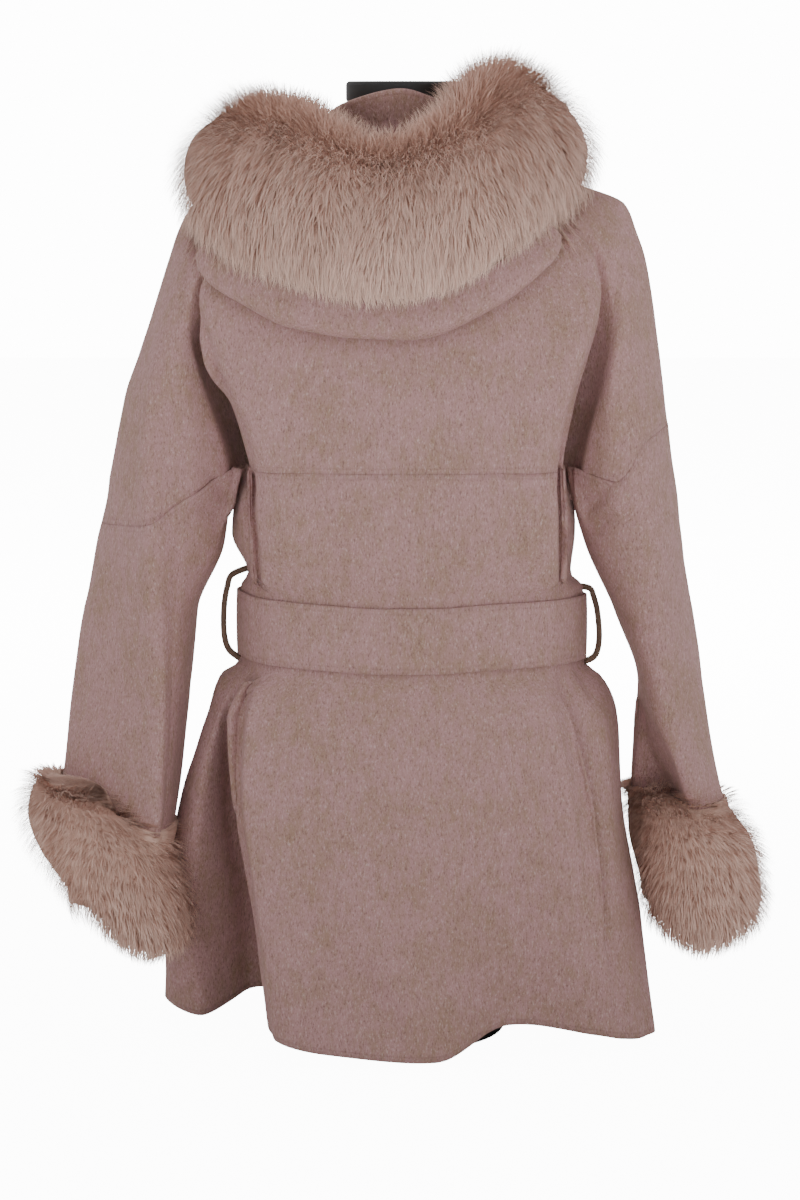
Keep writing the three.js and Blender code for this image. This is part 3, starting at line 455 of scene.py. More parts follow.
def through(values, u, closed=True):
    """Catmull-Rom curve through equally spaced rows of values, (n, c) or one set a point,
    (..., n, c), read at u."""
    u = np.asarray(u, float)
    values = np.asarray(values, float)
    if values.ndim == 2:
        values = np.broadcast_to(values, u.shape + values.shape)
    n = values.shape[-2]
    i = np.floor(u).astype(int)
    t = (u - i)[..., None]

    def row(k):
        k = k % n if closed else np.clip(k, 0, n - 1)
        return np.take_along_axis(values, k[..., None, None], axis=-2)[..., 0, :]
    a, b, c, d = row(i - 1), row(i), row(i + 1), row(i + 2)
    return b + 0.5 * t * (c - a + t * (2 * a - 5 * b + 4 * c - d + t * (3 * (b - c) + d - a)))


def column(table, name, s):
    """One named column of a table of stations, read along it."""
    values = np.array([[row[name]] for row in table], float)
    return through(values, s, closed=False)[..., 0]


def unit(v):
    """Vectors of length 1."""
    return v / np.maximum(np.linalg.norm(v, axis=-1, keepdims=True), 1e-9)


def level(v):
    """Vectors laid level and of length 1."""
    return unit(v * np.array([1.0, 1.0, 0.0]))


class Surface:
    """Surface through a table of sections: a line number and a height give a point."""

    def __init__(self, sections, joins=None):
        self.heights = np.array(sorted(sections), float)
        self.table = np.array([sections[z] for z in sorted(sections)], float)
        self.joins = joins

    def at(self, u, z):
        """Smooth curve up each line, then round the lines at that height. A sleeve runs into
        the yoke towards the drop seam, apart from its lines 3 to 5 inside the armhole."""
        u, z = np.broadcast_arrays(np.asarray(u, float), np.asarray(z, float))
        own = u % len(self.table[0]) if self.joins else u
        flat = through(curve(self.heights, self.table, z), own)
        point = np.concatenate([flat, z[..., None]], axis=-1)
        if self.joins:
            share = np.where((own > 3) & (own < 5), 0, ease((z - 500) / 40))[..., None]
            point += (YOKE.at(self.joins(own), z) - point) * share
        return point

    def out(self, u, z):
        """Direction out of the surface, from its slopes along the lines and the height."""
        across = self.at(u + 0.05, z) - self.at(u - 0.05, z)
        up = self.at(u, z + 1) - self.at(u, z - 1)
        return unit(np.cross(across, up))


BODY = Surface(BODY_SECTIONS)
YOKE = Surface(YOKE_SECTIONS)
SLEEVES = {
    "left": Surface(SLEEVE_LEFT, lambda u: np.where(u <= 3, u, u + 13)),
    "right": Surface(SLEEVE_RIGHT, lambda u: np.where(u <= 3, 12 - u, 19 - u)),
}


def ring_heights(heights):
    """Smooth closed curve through one height for each line, with no overshoot."""
    n = len(heights)
    knots = np.arange(-2, n + 2)
    return lambda u: curve(knots, np.array(heights, float)[knots % n], np.asarray(u) % n)


def waves(points, size, seed, count=5):
    """Sum of sine waves of seeded direction and phase in space, from -1 to 1, with a length
    near size in mm."""
    rng = np.random.default_rng(seed)
    total = np.zeros(points.shape[:-1])
    for _ in range(count):
        way = unit(rng.normal(size=3)) * (2 * math.pi / (size * rng.uniform(0.7, 1.5)))
        total += np.sin(points @ way + rng.uniform(0, 2 * math.pi))
    return total / count


def folds(points, normals, table):
    """Height of the listed folds at each point. A fold falls off as a bell with the
    distance d from its path, seen square on from its side, and fades at its ends. A folded
    edge has a low side: -1 is the left of a downward path and 1 its right. There the cloth
    drops over LAP_STEP mm, straight away from the viewer of its side, and comes back as half
    a bell. Gives the bells' height and the edges' shift."""
    total = np.zeros(points.shape[:-1])
    shift = np.zeros(points.shape)
    for side, half, high, path, low in table:
        across, away, sign = SIDES[side]
        faces = ease(normals[..., away] * sign * 2.2 + (0.3 if low else 0))
        path = np.array(path, float)
        smooth = through(path, np.linspace(0, len(path) - 1, 5 * len(path)), closed=False)
        here = points[..., [across, 2]]
        best = np.full(here.shape[:-1], 1e9)
        along = np.zeros(here.shape[:-1])
        turned = np.zeros(here.shape[:-1])
        for k in range(len(smooth) - 1):
            a, b = smooth[k], smooth[k + 1]
            t = np.clip(((here - a) @ (b - a)) / ((b - a) @ (b - a)), 0, 1)
            off = here - a - t[..., None] * (b - a)
            gap = np.linalg.norm(off, axis=-1)
            near = gap < best
            best = np.where(near, gap, best)
            along = np.where(near, (k + t) / (len(smooth) - 1), along)
            turned = np.where(near, (b - a)[0] * off[..., 1] - (b - a)[1] * off[..., 0], turned)
        fade = np.clip(np.sin(math.pi * np.clip(along, 0.02, 0.98)), 0, 1) ** 0.6
        d = best * np.sign(turned) * low
        if low:
            step = ease(d / LAP_STEP + 0.5) * np.exp(-(np.maximum(d, 0) / half) ** 2)
            shift[..., away] += sign * high * faces * fade * step
        else:
            total += high * faces * fade * np.exp(-(best / half) ** 2)
    return total, shift


def linear(code):
    """Linear colour of an sRGB hex code."""
    c = np.array([int(code[i:i + 2], 16) for i in (1, 3, 5)]) / 255
    return tuple(np.where(c <= 0.04045, c / 12.92, ((c + 0.055) / 1.055) ** 2.4)) + (1.0,)


def piece(name, points, faces, material, node, trim=None):
    """Mesh object from points in mm and a list of face arrays, on the frame's one body.
    trim gives each point its place along and away from a sewn edge, in mm, or a hair's tone
    and the share along it."""
    points = np.asarray(points, float).reshape(-1, 3)
    faces = [np.asarray(f, np.int32) for f in faces]
    mesh = bpy.data.meshes.new(name)
    mesh.vertices.add(len(points))
    mesh.vertices.foreach_set("co", (points / 1000).astype(np.float32).ravel())
    corners = np.concatenate([f.ravel() for f in faces])
    sizes = np.concatenate([np.full(len(f), f.shape[1], np.int32) for f in faces])
    mesh.loops.add(len(corners))
    mesh.loops.foreach_set("vertex_index", corners)
    mesh.polygons.add(len(sizes))
    mesh.polygons.foreach_set("loop_start", np.concatenate([[0], np.cumsum(sizes)[:-1]]))
    mesh.polygons.foreach_set("use_smooth", np.ones(len(sizes), bool))
    if trim is not None:
        held = mesh.attributes.new("trim", "FLOAT_VECTOR", "POINT")
        trim = np.broadcast_to(np.asarray(trim, np.float32), (len(points), 3))
        held.data.foreach_set("vector", trim.ravel())
    mesh.update(calc_edges=True)
    mesh.validate()
    obj = bpy.data.objects.new(name, mesh)
    bpy.context.scene.collection.objects.link(obj)
    obj.data.materials.append(finishes()[material])
    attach(obj, "root")
    if node:
        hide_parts(node)
    return obj


def quads(rows, columns, closed_rows=False, closed_columns=False, start=0, flip=False):
    """Faces of a grid numbered row by row, [row][column]."""
    i = np.arange(rows if closed_rows else rows - 1)[:, None]
    j = np.arange(columns if closed_columns else columns - 1)[None, :]
    i2, j2 = (i + 1) % rows, (j + 1) % columns
    corners = [i * columns + j, i2 * columns + j, i2 * columns + j2, i * columns + j2]
    faces = np.stack([np.broadcast_to(c, (len(i), j.shape[1])) for c in corners], -1)
    faces = faces.reshape(-1, 4) + start
    return faces[:, ::-1] if flip else faces


def normals_of(grid, closed):
    """Direction out of a grid of points [line][height], by the cross product of its steps."""
    if closed:
        along = np.roll(grid, -1, 0) - np.roll(grid, 1, 0)
    else:
        along = np.gradient(grid, axis=0)
    return unit(np.cross(along, np.gradient(grid, axis=1)))


def shell(name, grid, node, edge=None, closed=False, turn=1):
    """Cloth wall of the coat's wool on a grid of points [line][height]: the wall goes in along
    the normals, and a rounded rim joins its two faces. edge is each point's distance from a
    sewn edge."""
    lines, rows = grid.shape[:2]
    out = normals_of(grid, closed) * turn
    inner = grid - out * WALL
    middle = (grid + inner) / 2
    low = middle[:, :1] + unit(grid[:, :1] - grid[:, 1:2]) * RIM
    high = middle[:, -1:] + unit(grid[:, -1:] - grid[:, -2:-1]) * RIM
    ring = np.concatenate([grid, high, inner[:, ::-1], low], axis=1)
    count = ring.shape[1]
    faces = [quads(lines, count, closed, True, flip=turn < 0)]
    points = ring.reshape(-1, 3)
    if not closed:
        for i, flip in ((0, True), (lines - 1, False)):
            a = i * count + np.arange(rows - 1)
            b = i * count + (2 * rows - np.arange(rows - 1))
            cap = np.stack([a, b, b - 1, a + 1], -1)
            tips = np.array([[i * count, i * count + count - 1, i * count + 2 * rows],
                             [i * count + rows - 1, i * count + rows + 1, i * count + rows]])
            if flip != (turn < 0):
                cap, tips = cap[:, ::-1], tips[:, ::-1]
            faces += [cap, tips]
    trim = np.full((lines, count, 3), NO_EDGE)
    if edge is not None:
        walked = np.cumsum(np.linalg.norm(np.diff(grid, axis=0, prepend=grid[:1]), axis=-1), 0)
        climbed = np.cumsum(np.linalg.norm(np.diff(grid, axis=1, prepend=grid[:, :1]), axis=-1), 1)
        trim[:, :rows, 0] = walked + climbed
        trim[:, :rows, 1] = edge
    obj = piece(name, points, faces, "brushed wool", node, trim.reshape(-1, 3))


def sheets_edge(grid, low=True, high=True, sides=True):
    """Distance of each point of a grid from its named edges along the cloth, to EDGE_FAR."""
    gaps = []
    up = np.cumsum(np.linalg.norm(np.diff(grid, axis=1, prepend=grid[:, :1]), axis=-1), 1)
    across = np.cumsum(np.linalg.norm(np.diff(grid, axis=0, prepend=grid[:1]), axis=-1), 0)
    if low:
        gaps.append(up)
    if high:
        gaps.append(up[:, -1:] - up)
    if sides:
        gaps += [across, across[-1:] - across]
    return np.minimum(np.minimum.reduce(gaps), EDGE_FAR)


def lofted(name, rings, material, node, trim=None):
    """Closed solid from a stack of rings [ring][point], with a middle point at each end."""
    rings = np.asarray(rings, float)
    rows, sides = rings.shape[:2]
    points = np.concatenate([rings.reshape(-1, 3), rings[0].mean(0)[None], rings[-1].mean(0)[None]])
    faces = [quads(rows, sides, closed_columns=True, flip=True)]
    i = np.arange(sides)
    j = (i + 1) % sides
    last = (rows - 1) * sides
    faces.append(np.stack([np.full(sides, rows * sides), j, i], -1))
    faces.append(np.stack([np.full(sides, rows * sides + 1), last + i, last + j], -1))
    piece(name, points, faces, material, node, trim)


def put(tree, kind, inputs=(), out=0, **settings):
    """Adds one node, sets its properties, links or sets its inputs, and gives one output.
    Inputs come in the node's order, or by number or name."""
    made = tree.nodes.new("ShaderNode" + kind)
    for key, value in settings.items():
        setattr(made, key, value)
    for key, value in inputs.items() if isinstance(inputs, dict) else enumerate(inputs):
        if isinstance(value, bpy.types.NodeSocket):
            tree.links.new(value, made.inputs[key])
        else:
            made.inputs[key].default_value = value
    return made.outputs[out]


def fresh(name):
    """Empty node tree of a new material, and the input of its surface."""
    made = bpy.data.materials.new(name)
    made.use_nodes = True
    made.node_tree.nodes.clear()
    return made.node_tree, made.node_tree.nodes.new("ShaderNodeOutputMaterial").inputs[0]


def brushed_wool(name, pink, olive, dark, light):
    """Double-faced wool, brushed and pressed: short nap that lies downwards, so flecks are
    streaks about 1 mm wide and 4 mm long, and fibres of two dyes that cloud over some cm."""
    tree, surface = fresh(name)
    pink, olive, dark, light = (linear(code) for code in (pink, olive, dark, light))
    place = put(tree, "TexCoord", out="Object")
    nap = put(tree, "Mapping", {"Vector": place, "Scale": (1.0, 1.0, NAP_LIE)})
    # real fibres are 0.02 mm; drawn as 1.5 mm flecks so that they show
    cloud, heather, fleck, fuzz = (
        put(tree, "TexNoise", {"Vector": grain, "Scale": 1000 / size, "Detail": detail,
                               "Roughness": rough})
        for grain, size, detail, rough in (
            (place, 60, 3.0, 0.6), (nap, 7.0, 3.0, 0.7),
            (nap, 1.5, 2.0, 0.8), (nap, 2.6, 4.0, 0.8)))
    clouded = put(tree, "MapRange", (cloud, 0.42, 0.64, 0.0, 0.5))
    mottled = put(tree, "MapRange", (heather, 0.4, 0.65, -0.15, 0.45))
    dye = put(tree, "Math", (clouded, mottled), operation="ADD")
    trim = put(tree, "Attribute", out="Vector", attribute_name="trim")
    away = put(tree, "SeparateXYZ", (trim,), 1)
    along = away.node.outputs[0]
    # a line of sunk stitches beside a sewn edge: each is seen where the place along the
    # edge, folded back and forth every STITCH_STEP mm, is high
    off = put(tree, "Math", (away, STITCH), operation="SUBTRACT")
    off = put(tree, "Math", (off, 0.0), operation="ABSOLUTE")
    line = put(tree, "Math", (1.0, put(tree, "MapRange", (off, 0.4, 1.2))), operation="SUBTRACT")
    beat = put(tree, "Math", (along, STITCH_STEP), operation="PINGPONG")
    beat = put(tree, "MapRange", (beat, 0.6, 1.2, 0.35, 1.0))
    sewn = put(tree, "Math", (line, beat), operation="MULTIPLY")
    colour = pink
    for share, layer in (
            (dye, olive),
            (put(tree, "MapRange", (fleck, 0.46, 0.32, 0.0, 0.55)), dark),
            (put(tree, "MapRange", (fleck, 0.56, 0.72, 0.0, 0.5)), light),
            # the stitches' dimples are a real bump below, and are also painted darker here as painted
            # shade in them
            (put(tree, "Math", (sewn, 0.1), operation="MULTIPLY"), dark)):
        colour = put(tree, "Mix", {0: share, 6: colour, 7: layer}, 2, data_type="RGBA")
    height = put(tree, "Math", (sewn, -0.6, fuzz), operation="MULTIPLY_ADD")
    height = put(tree, "Math", (heather, 0.8, height), operation="MULTIPLY_ADD")
    bump = put(tree, "Bump", {"Strength": 0.42, "Distance": 0.0011, "Height": height})
    tree.links.new(put(tree, "BsdfPrincipled", {
        "Base Color": colour, "Roughness": 0.95, "Sheen Weight": 0.22, "Sheen Roughness": 0.45,
        "Sheen Tint": light, "Specular IOR Level": 0.12, "Normal": bump}), surface)


def dyed_fur(name, base, root, tip):
    """Long-haired dyed fur: each hair is dark at its root and pale at its tip, and hairs
    differ in tone. trim holds the hair's own tone and the share along it."""
    tree, surface = fresh(name)
    base, root, tip = (linear(code) for code in (base, root, tip))
    tone = put(tree, "SeparateXYZ", (put(tree, "Attribute", out="Vector", attribute_name="trim"),))
    along = tone.node.outputs[1]
    cloud = put(tree, "TexNoise", {"Vector": put(tree, "TexCoord", out="Object"),
                                   "Scale": 1000 / 38, "Detail": 2.0, "Roughness": 0.6})
    colour = root
    for share, layer in ((put(tree, "MapRange", (along, 0.0, 0.75)), base),
                         (put(tree, "MapRange", (along, 0.4, 1.0, 0.0, 0.7)), tip),
                         (put(tree, "MapRange", (cloud, 0.35, 0.65, 0.0, 0.28)), root)):
        colour = put(tree, "Mix", {0: share, 6: colour, 7: layer}, 2, data_type="RGBA")
    shade = put(tree, "MapRange", (tone, 0.0, 1.0, 0.78, 1.14))
    colour = put(tree, "HueSaturation", {"Value": shade, "Color": colour})
    tree.links.new(put(tree, "BsdfPrincipled", {
        "Base Color": colour, "Roughness": 0.75, "Sheen Weight": 0.3, "Sheen Roughness": 0.4,
        "Sheen Tint": tip, "Specular IOR Level": 0.2}), surface)


def moulded_plastic(name, colour, rough, grain_mm):
    """Black form shell in moulded plastic with a fine even grain and a soft gloss."""
    tree, surface = fresh(name)
    place = put(tree, "TexCoord", out="Object")
    grain, wear = (
        put(tree, "TexNoise", {"Vector": place, "Scale": 1000 / size, "Detail": detail,
                               "Roughness": 0.6}) for size, detail in ((grain_mm, 2.0), (45, 3.0)))
    bump = put(tree, "Bump", {"Strength": 0.25, "Distance": 0.0003, "Height": grain})
    worn = put(tree, "MapRange", (wear, 0.4, 0.7, 0.0, 0.5))
    gloss = put(tree, "MapRange", (wear, 0.3, 0.7, rough - 0.06, rough + 0.08))
    tint = put(tree, "Mix", {0: worn, 6: linear(colour), 7: linear("#2b2929")}, 2, data_type="RGBA")
    tree.links.new(put(tree, "BsdfPrincipled", {"Base Color": tint, "Normal": bump,
                                                "Roughness": gloss}), surface)


def finishes():
    """The materials, made once and found again by name."""
    colours = bpy.context.scene.coat_colours
    if "brushed wool" not in bpy.data.materials:
        brushed_wool("brushed wool", *(hexes(c) for c in (
            colours.wool, colours.wool_warm, colours.wool_dark, colours.wool_light)))
        # the coat's wool painted darker all over, as painted shade: the belt loops at the coat's sides
        brushed_wool("wool in painted shade", "#7d6759", "#665347", "#4a3a32", "#937d70")
        dyed_fur("dyed fur", *(hexes(c) for c in (colours.fur, colours.fur_root, colours.fur_tip)))
        moulded_plastic("moulded plastic", hexes(colours.form), 0.5, 0.8)
    return bpy.data.materials


def hexes(colour):
    """sRGB hex code of a colour property."""
    return "#" + "".join(f"{round(255 * c):02x}" for c in colour)


def trenches(u, z, table):
    """Deep narrow troughs that follow a line of the cloth: a bell across the lines, with its
    depth read up the heights."""
    total = np.zeros(np.shape(z))
    for line, half, heights, depths in table:
        total -= curve(heights, depths, z) * np.exp(-((u - line) / half) ** 2)
    return total


def laid(surface, u, z, rise=0.0, deep=()):
    """Points of a cloth surface with its folds and its slow unevenness, which die away under
    the belt, and under the hood for the unevenness."""
    points, out = surface.at(u, z), surface.out(u, z)
    belted = ease((np.abs(z - BELT_MIDDLE + 5) - BELT_HALF - 1) / 20)
    hooded = 1 - 0.8 * ease((z - 700) / 40)
    high, shift = folds(points, out, CREASES)
    high = high + (waves(points, 130, 7) * 1.5 + waves(points, 48, 8) * 0.4) * hooded
    lift = high * belted + trenches(u, z, deep) + rise
    return points + out * lift[..., None] + shift * belted[..., None]


def skirt_and_back():
    """Back and two fronts below the yoke seam. The rows are drawn towards the waist, where
    the belt gathers the cloth."""
    top = YOKE_SEAM - SEAM_SINK
    for name, start, end, lines, rows, width in (
            ("back", SEAM_HALF, SIDE_LINE - SEAM_HALF, 264, 76, 0.60),
            ("front_right", SIDE_LINE + SEAM_HALF, 14, 80, 72, 0.37),
            ("front_left", 12 + 1 / 3, WAIST_ROUND - SEAM_HALF, 76, 72, 0.33)):
        u = np.linspace(start, end, lines)
        share = curve([0, 0.55, 0.62, 0.8, 1], [0, 340 / 565, 385 / 565, 460 / 565, 1],
                      np.linspace(0, 1, rows))
        low = ring_heights(HEM)(u)[:, None] + RIM
        z = low + (top - low) * share[None, :]
        line = np.broadcast_to(u[:, None], z.shape)
        rise = -FRONT_LAP * ease((15.4 - line) / 1.4) * (name == "front_left")
        grid = laid(BODY, line, z, rise, BODY_TRENCHES)
        shell("cloth_" + name, grid, name,
              sheets_edge(grid, sides=name != "back"))


def yoke_panels():
    """Yoke over back and shoulders, and the fronts' upper parts with their V."""
    outer = SHOULDER + 2       # line at the middle of a front, where its lap or V begins

    def at(share, z, side):
        """Line at a share of a front's width. The second half ends at the lap's edge."""
        edge = curve([540, 600, 760, 830, 886], [17.0, 16.9, 15.9, 15.0, 14.6], z)
        first = SHOULDER + SEAM_HALF + np.clip(share / 0.5, 0, 1) * (2 - SEAM_HALF)
        second = outer + (edge - outer) * np.clip(share / 0.5 - 1, 0, 1)
        line = np.where(share <= 0.5, first, second)
        return line if side > 0 else 32 - line
    for name, side, lines, rows, cut in (("back_yoke", 0, 264, 68, (0.62, 0.33)),
                                         ("front_yoke_right", 1, 68, 64, (0.30, 0.31)),
                                         ("front_yoke_left", -1, 68, 64, (0.30, 0.31))):
        share = np.linspace(0, 1, lines)
        whole = SEAM_HALF + share * (SHOULDER - 2 * SEAM_HALF)
        foot = at(share, YOKE_SEAM, side) if side else whole
        low = ring_heights(SEAM_HEIGHTS)(foot) + SEAM_SINK
        for armhole in () if side else ARMHOLES:
            low = low - GUSSET[0] * np.exp(-((foot - armhole) / GUSSET[1]) ** 2)
        z = low[:, None] + (NECKLINE - low[:, None]) * (1 - (1 - np.linspace(0, 1, rows)) ** 1.15)
        line = at(share[:, None], z, side) if side else np.broadcast_to(foot[:, None], z.shape)
        rise = -FRONT_LAP * ease((18.6 - line) / 1.2) * (side < 0)
        grid = laid(YOKE, line, z, rise, YOKE_TRENCHES)[::-1 if side < 0 else 1]
        shell("cloth_" + name, grid, name,
              sheets_edge(grid, high=False, sides=side != 0))


def sleeve_tubes():
    """Sleeves from the drop seam to the cuff, with the creases of a hanging arm."""
    for side, seam, turn in (("left", SLEEVE_SEAM_LEFT, 1), ("right", SLEEVE_SEAM_RIGHT, -1)):
        u = np.linspace(0, 7, 98, endpoint=False)
        top = ring_heights(seam)(u) - SEAM_SINK
        z = SLEEVE_END + (top - SLEEVE_END)[:, None] * np.linspace(0, 1, 80)[None, :]
        surface = SLEEVES[side]
        line = np.broadcast_to(u[:, None], z.shape)
        points, out = surface.at(line, z), surface.out(line, z) * turn
        high, shift = folds(points, out, CREASES)
        grid = points + shift + out * (high + waves(points, 90, 17) * 0.9)[..., None]
        shell("cloth_sleeve_" + side, grid, "sleeve_" + side,
              sheets_edge(grid, low=False, sides=False),
              closed=True, turn=turn)


def hood_grid(lines, rows):
    """Hood's wall: it lies on the yoke from the neck down, turns under at its lower edge and
    comes up outside. A smooth curve goes through nine points of each column."""
    s = np.linspace(0, len(HOOD_EDGE) - 1, lines)
    last = len(HOOD_EDGE) - 1
    line, edge = column(HOOD_EDGE, "line", s), column(HOOD_EDGE, "z", s)
    low = 1 - 0.55 * np.abs(2 * s / last - 1) ** 3
    at_neck = 2.6 + (9.2 - 2.6) * s / last
    path = []
    for t in (0, 0.25, 0.5, 0.75):
        z = HOOD_TOP + (edge + HOOD_TURN[0]["rise"] * low - HOOD_TOP) * t
        path.append((at_neck + (line - at_neck) * t, z, LAID_GAP + 0.7 + WALL))
    for h in HOOD_TURN:
        path.append((line, edge + h["rise"] * low, h["out"]))
    knots = np.stack([YOKE.at(u, z) + YOKE.out(u, np.minimum(z, 850)) * out
                      for u, z, out in path], 1)
    knots[..., 2] = np.stack([z for _, z, _ in path], 1)
    share = 1 - (1 - np.linspace(0, 1, rows)) ** 1.8
    return through(np.repeat(knots[:, None], rows, 1),
                   np.broadcast_to(share * (len(path) - 1), (lines, rows)), closed=False)


def hood_and_stand():
    """Folded hood under the fur, and the stand behind the neck."""
    rows = 46
    grid = hood_grid(150, rows)[:, ::-1]
    out = normals_of(grid, False)
    high = folds(grid, out, HOOD_CREASES)[0] + waves(grid, 60, 21) * 1.2
    shown = ease((32 - np.arange(rows)) / 9)[None, :]
    grid = grid + out * (high * shown)[..., None]
    shell("cloth_hood", grid, "hood")
    s = np.linspace(0, len(NECK_STAND) - 1, 90)
    foot = YOKE.at(0.6 + 10.8 * s / (len(NECK_STAND) - 1), NECK_ROW)
    away = level(foot)
    top, flare = column(NECK_STAND, "top", s), column(NECK_STAND, "flare", s)
    t = np.linspace(0, 1, 20)[None, :]
    low = NECKLINE + SEAM_GAP + RIM
    grid = foot[:, None] + away[:, None] * (flare[:, None] * t * t)[..., None]
    grid[..., 2] = low + (top - low)[:, None] * t
    grid += away[:, None] * (waves(grid, 34, 5) * 1.3 * t)[..., None]
    shell("cloth_neck_stand", grid, "neck_stand",
          sheets_edge(grid, low=False, sides=False))


def belt_band():
    """Belt: a band round the waist with soft edges."""
    u = np.linspace(0, WAIST_ROUND, 280, endpoint=False)
    middle = through(np.array(BELT_HEIGHT, float)[:, None], u)[:, 0]
    base, out = BODY.at(u, BELT_MIDDLE), BODY.out(u, BELT_MIDDLE)
    share = np.linspace(-1, 1, 13)
    here = np.stack([base[:, 0], base[:, 1], middle], -1)
    belly = 0.7 * (1 - share ** 2)[None, :] + (waves(here, 70, 33) * 0.5)[:, None]
    grid = base[:, None] + out[:, None] * (BELT_STAND + BELT_THICK + belly)[..., None]
    grid[..., 2] = middle[:, None] + (BELT_HALF - RIM) * share
    grid[..., 2] += (waves(base, 90, 31) * 0.8)[:, None]
    shell("cloth_belt", grid, "belt",
          sheets_edge(grid, sides=False), closed=True)


def squared(c, power):
    """Sine or cosine pressed towards 1 and -1, which squares off a circle."""
    return np.sign(c) * np.abs(c) ** power


def knot_and_ends():
    """Knot at the front and the two ends that hang from it."""
    face = BELT_STAND + BELT_THICK + LAID_GAP
    seat = BODY.at(KNOT_LINE, BELT_MIDDLE) + BODY.out(KNOT_LINE, BELT_MIDDLE) * face
    h = np.linspace(-0.985, 0.985, 30)[:, None]
    a = np.linspace(0, 2 * math.pi, 52, endpoint=False)[None, :]
    round_ = np.sqrt(1 - h * h)
    fold = 1 - 0.07 * np.cos(3 * a + 4 * h) ** 8 * round_ - 0.05 * np.sin(5 * h + a) ** 6
    x = seat[0] + KNOT_HALF[0] * squared(np.cos(a), 0.8) * round_ ** 0.6 * fold
    y = seat[1] - 0.4 + KNOT_HALF[1] * (1 + np.sin(a) * round_ ** 0.5 * fold)
    rings = np.stack([x, y, KNOT_HEIGHT + KNOT_HALF[2] * h + 0 * a], -1)
    lofted("cloth_belt_knot", rings, "brushed wool", "belt_knot")
    for name, line, drift, bottom in BELT_ENDS:
        s = np.linspace(-1, 1, 20)[:, None]
        t = np.linspace(0, 1, 64)[None, :]
        z = bottom + (KNOT_HEIGHT - KNOT_HALF[2] - 1.2 - bottom) * t + 0 * s
        u = line + drift * (1 - t) + s * (0.34 + (0.2 - 0.34) * t ** 3)
        near = LAID_GAP + WALL + 0.4
        away = near + (face + KNOT_HALF[1] - near) * t ** 6
        away = away + 3 * np.sin(7 * t) ** 2 + 0.5 * (1 - s ** 2)
        grid = BODY.at(u, z) + level(BODY.out(u, z)) * away[..., None]
        shell("cloth_" + name, grid, name,
              sheets_edge(grid, high=False))


def belt_loops():
    """Loops at the sides: a flat band along its route, with rounded edges, in the wool with painted
    shade.
    """
    for side, line, sign in (("left", 0, -1), ("right", SIDE_LINE, 1)):
        route = []
        for i, (away, z) in enumerate(LOOP_ROUTES[side]):
            end = i in (0, len(LOOP_ROUTES[side]) - 1)
            out = away + LOOP_THICK / 2 + LAID_GAP - LOOP_SUNK * end
            route.append((BODY.at(line, z if end else BELT_MIDDLE)[0] + sign * out, 0, z))
        s = np.linspace(0, len(route) - 1, 64)
        middle = through(np.array(route, float), s, closed=False)
        along = unit(np.gradient(middle, axis=0))
        out = np.stack([along[:, 2], 0 * s, -along[:, 0]], -1)
        a = np.linspace(0, 2 * math.pi, 16, endpoint=False)
        flat = squared(np.cos(a), 0.55) * LOOP_THICK / 2
        rings = middle[:, None] + out[:, None] * flat[:, None]
        rings[..., 1] += squared(np.sin(a), 0.55) * LOOP_WIDE / 2
        # the loops' darker wool is painted shade, not a different cloth
        lofted("cloth_belt_loop_" + side, rings, "wool in painted shade", "belt_loop_" + side)


class Reach:
    """How far the wool under the fur reaches: out from the upright axis at an angle and a
    height, and up at a place. Fur is kept clear of it."""
    DEGREES, HIGH, SQUARE = 2, 3, 4      # sizes of a cell, the last two in mm
    RING, PLAN = (180, 100), (140, 100)  # cells by angle and height, and on the floor plan
    CORNER = (280, 200)                  # how far the plan's corner is from the axis

    def __init__(self):
        heights = np.arange(FUR_FLOOR, NECK_ROW, 2.0)
        u, z = np.meshgrid(np.linspace(0, 20, 1600), heights, indexing="ij")
        cloth = [YOKE.at(u, z).reshape(-1, 3), hood_grid(500, 120)[:, :-6].reshape(-1, 3)]
        points = np.concatenate(cloth)
        self.out = np.zeros(self.RING)
        angle, height, radius = self.cells(points)
        np.maximum.at(self.out, (angle, height), radius)
        self.up = np.full(self.PLAN, -1e9)
        np.maximum.at(self.up, self.squares(points), points[:, 2])

    def cells(self, p):
        """Cell number by angle and height, and the distance out."""
        turn = np.degrees(np.arctan2(p[..., 1], p[..., 0])) % 360
        height = np.clip((p[..., 2] - FUR_FLOOR) / self.HIGH, 0, self.RING[1] - 1).astype(int)
        return (turn / self.DEGREES).astype(int) % self.RING[0], height, np.hypot(p[..., 0], p[..., 1])

    def squares(self, p):
        """Cell number by place on the floor plan."""
        return tuple(np.clip((p[..., k] + self.CORNER[k]) / self.SQUARE, 0, self.PLAN[k] - 1)
                     .astype(int) for k in (0, 1))

    def clear(self, p, gap):
        """Moves points that lie in the wool out of it, by the shorter of the two ways."""
        angle, height, radius = self.cells(p)
        short = self.out[angle, height] + gap - radius
        lift = self.up[self.squares(p)] + gap - p[..., 2]
        inside = (short > 0) & (lift > 0) & (p[..., 2] < NECKLINE)
        sideways = inside & (short <= lift)
        p = p + level(p) * np.where(sideways, np.minimum(short, MOST_PUSH), 0)[..., None]
        p[..., 2] += np.where(inside & ~sideways, np.minimum(lift, MOST_PUSH), 0)
        return p


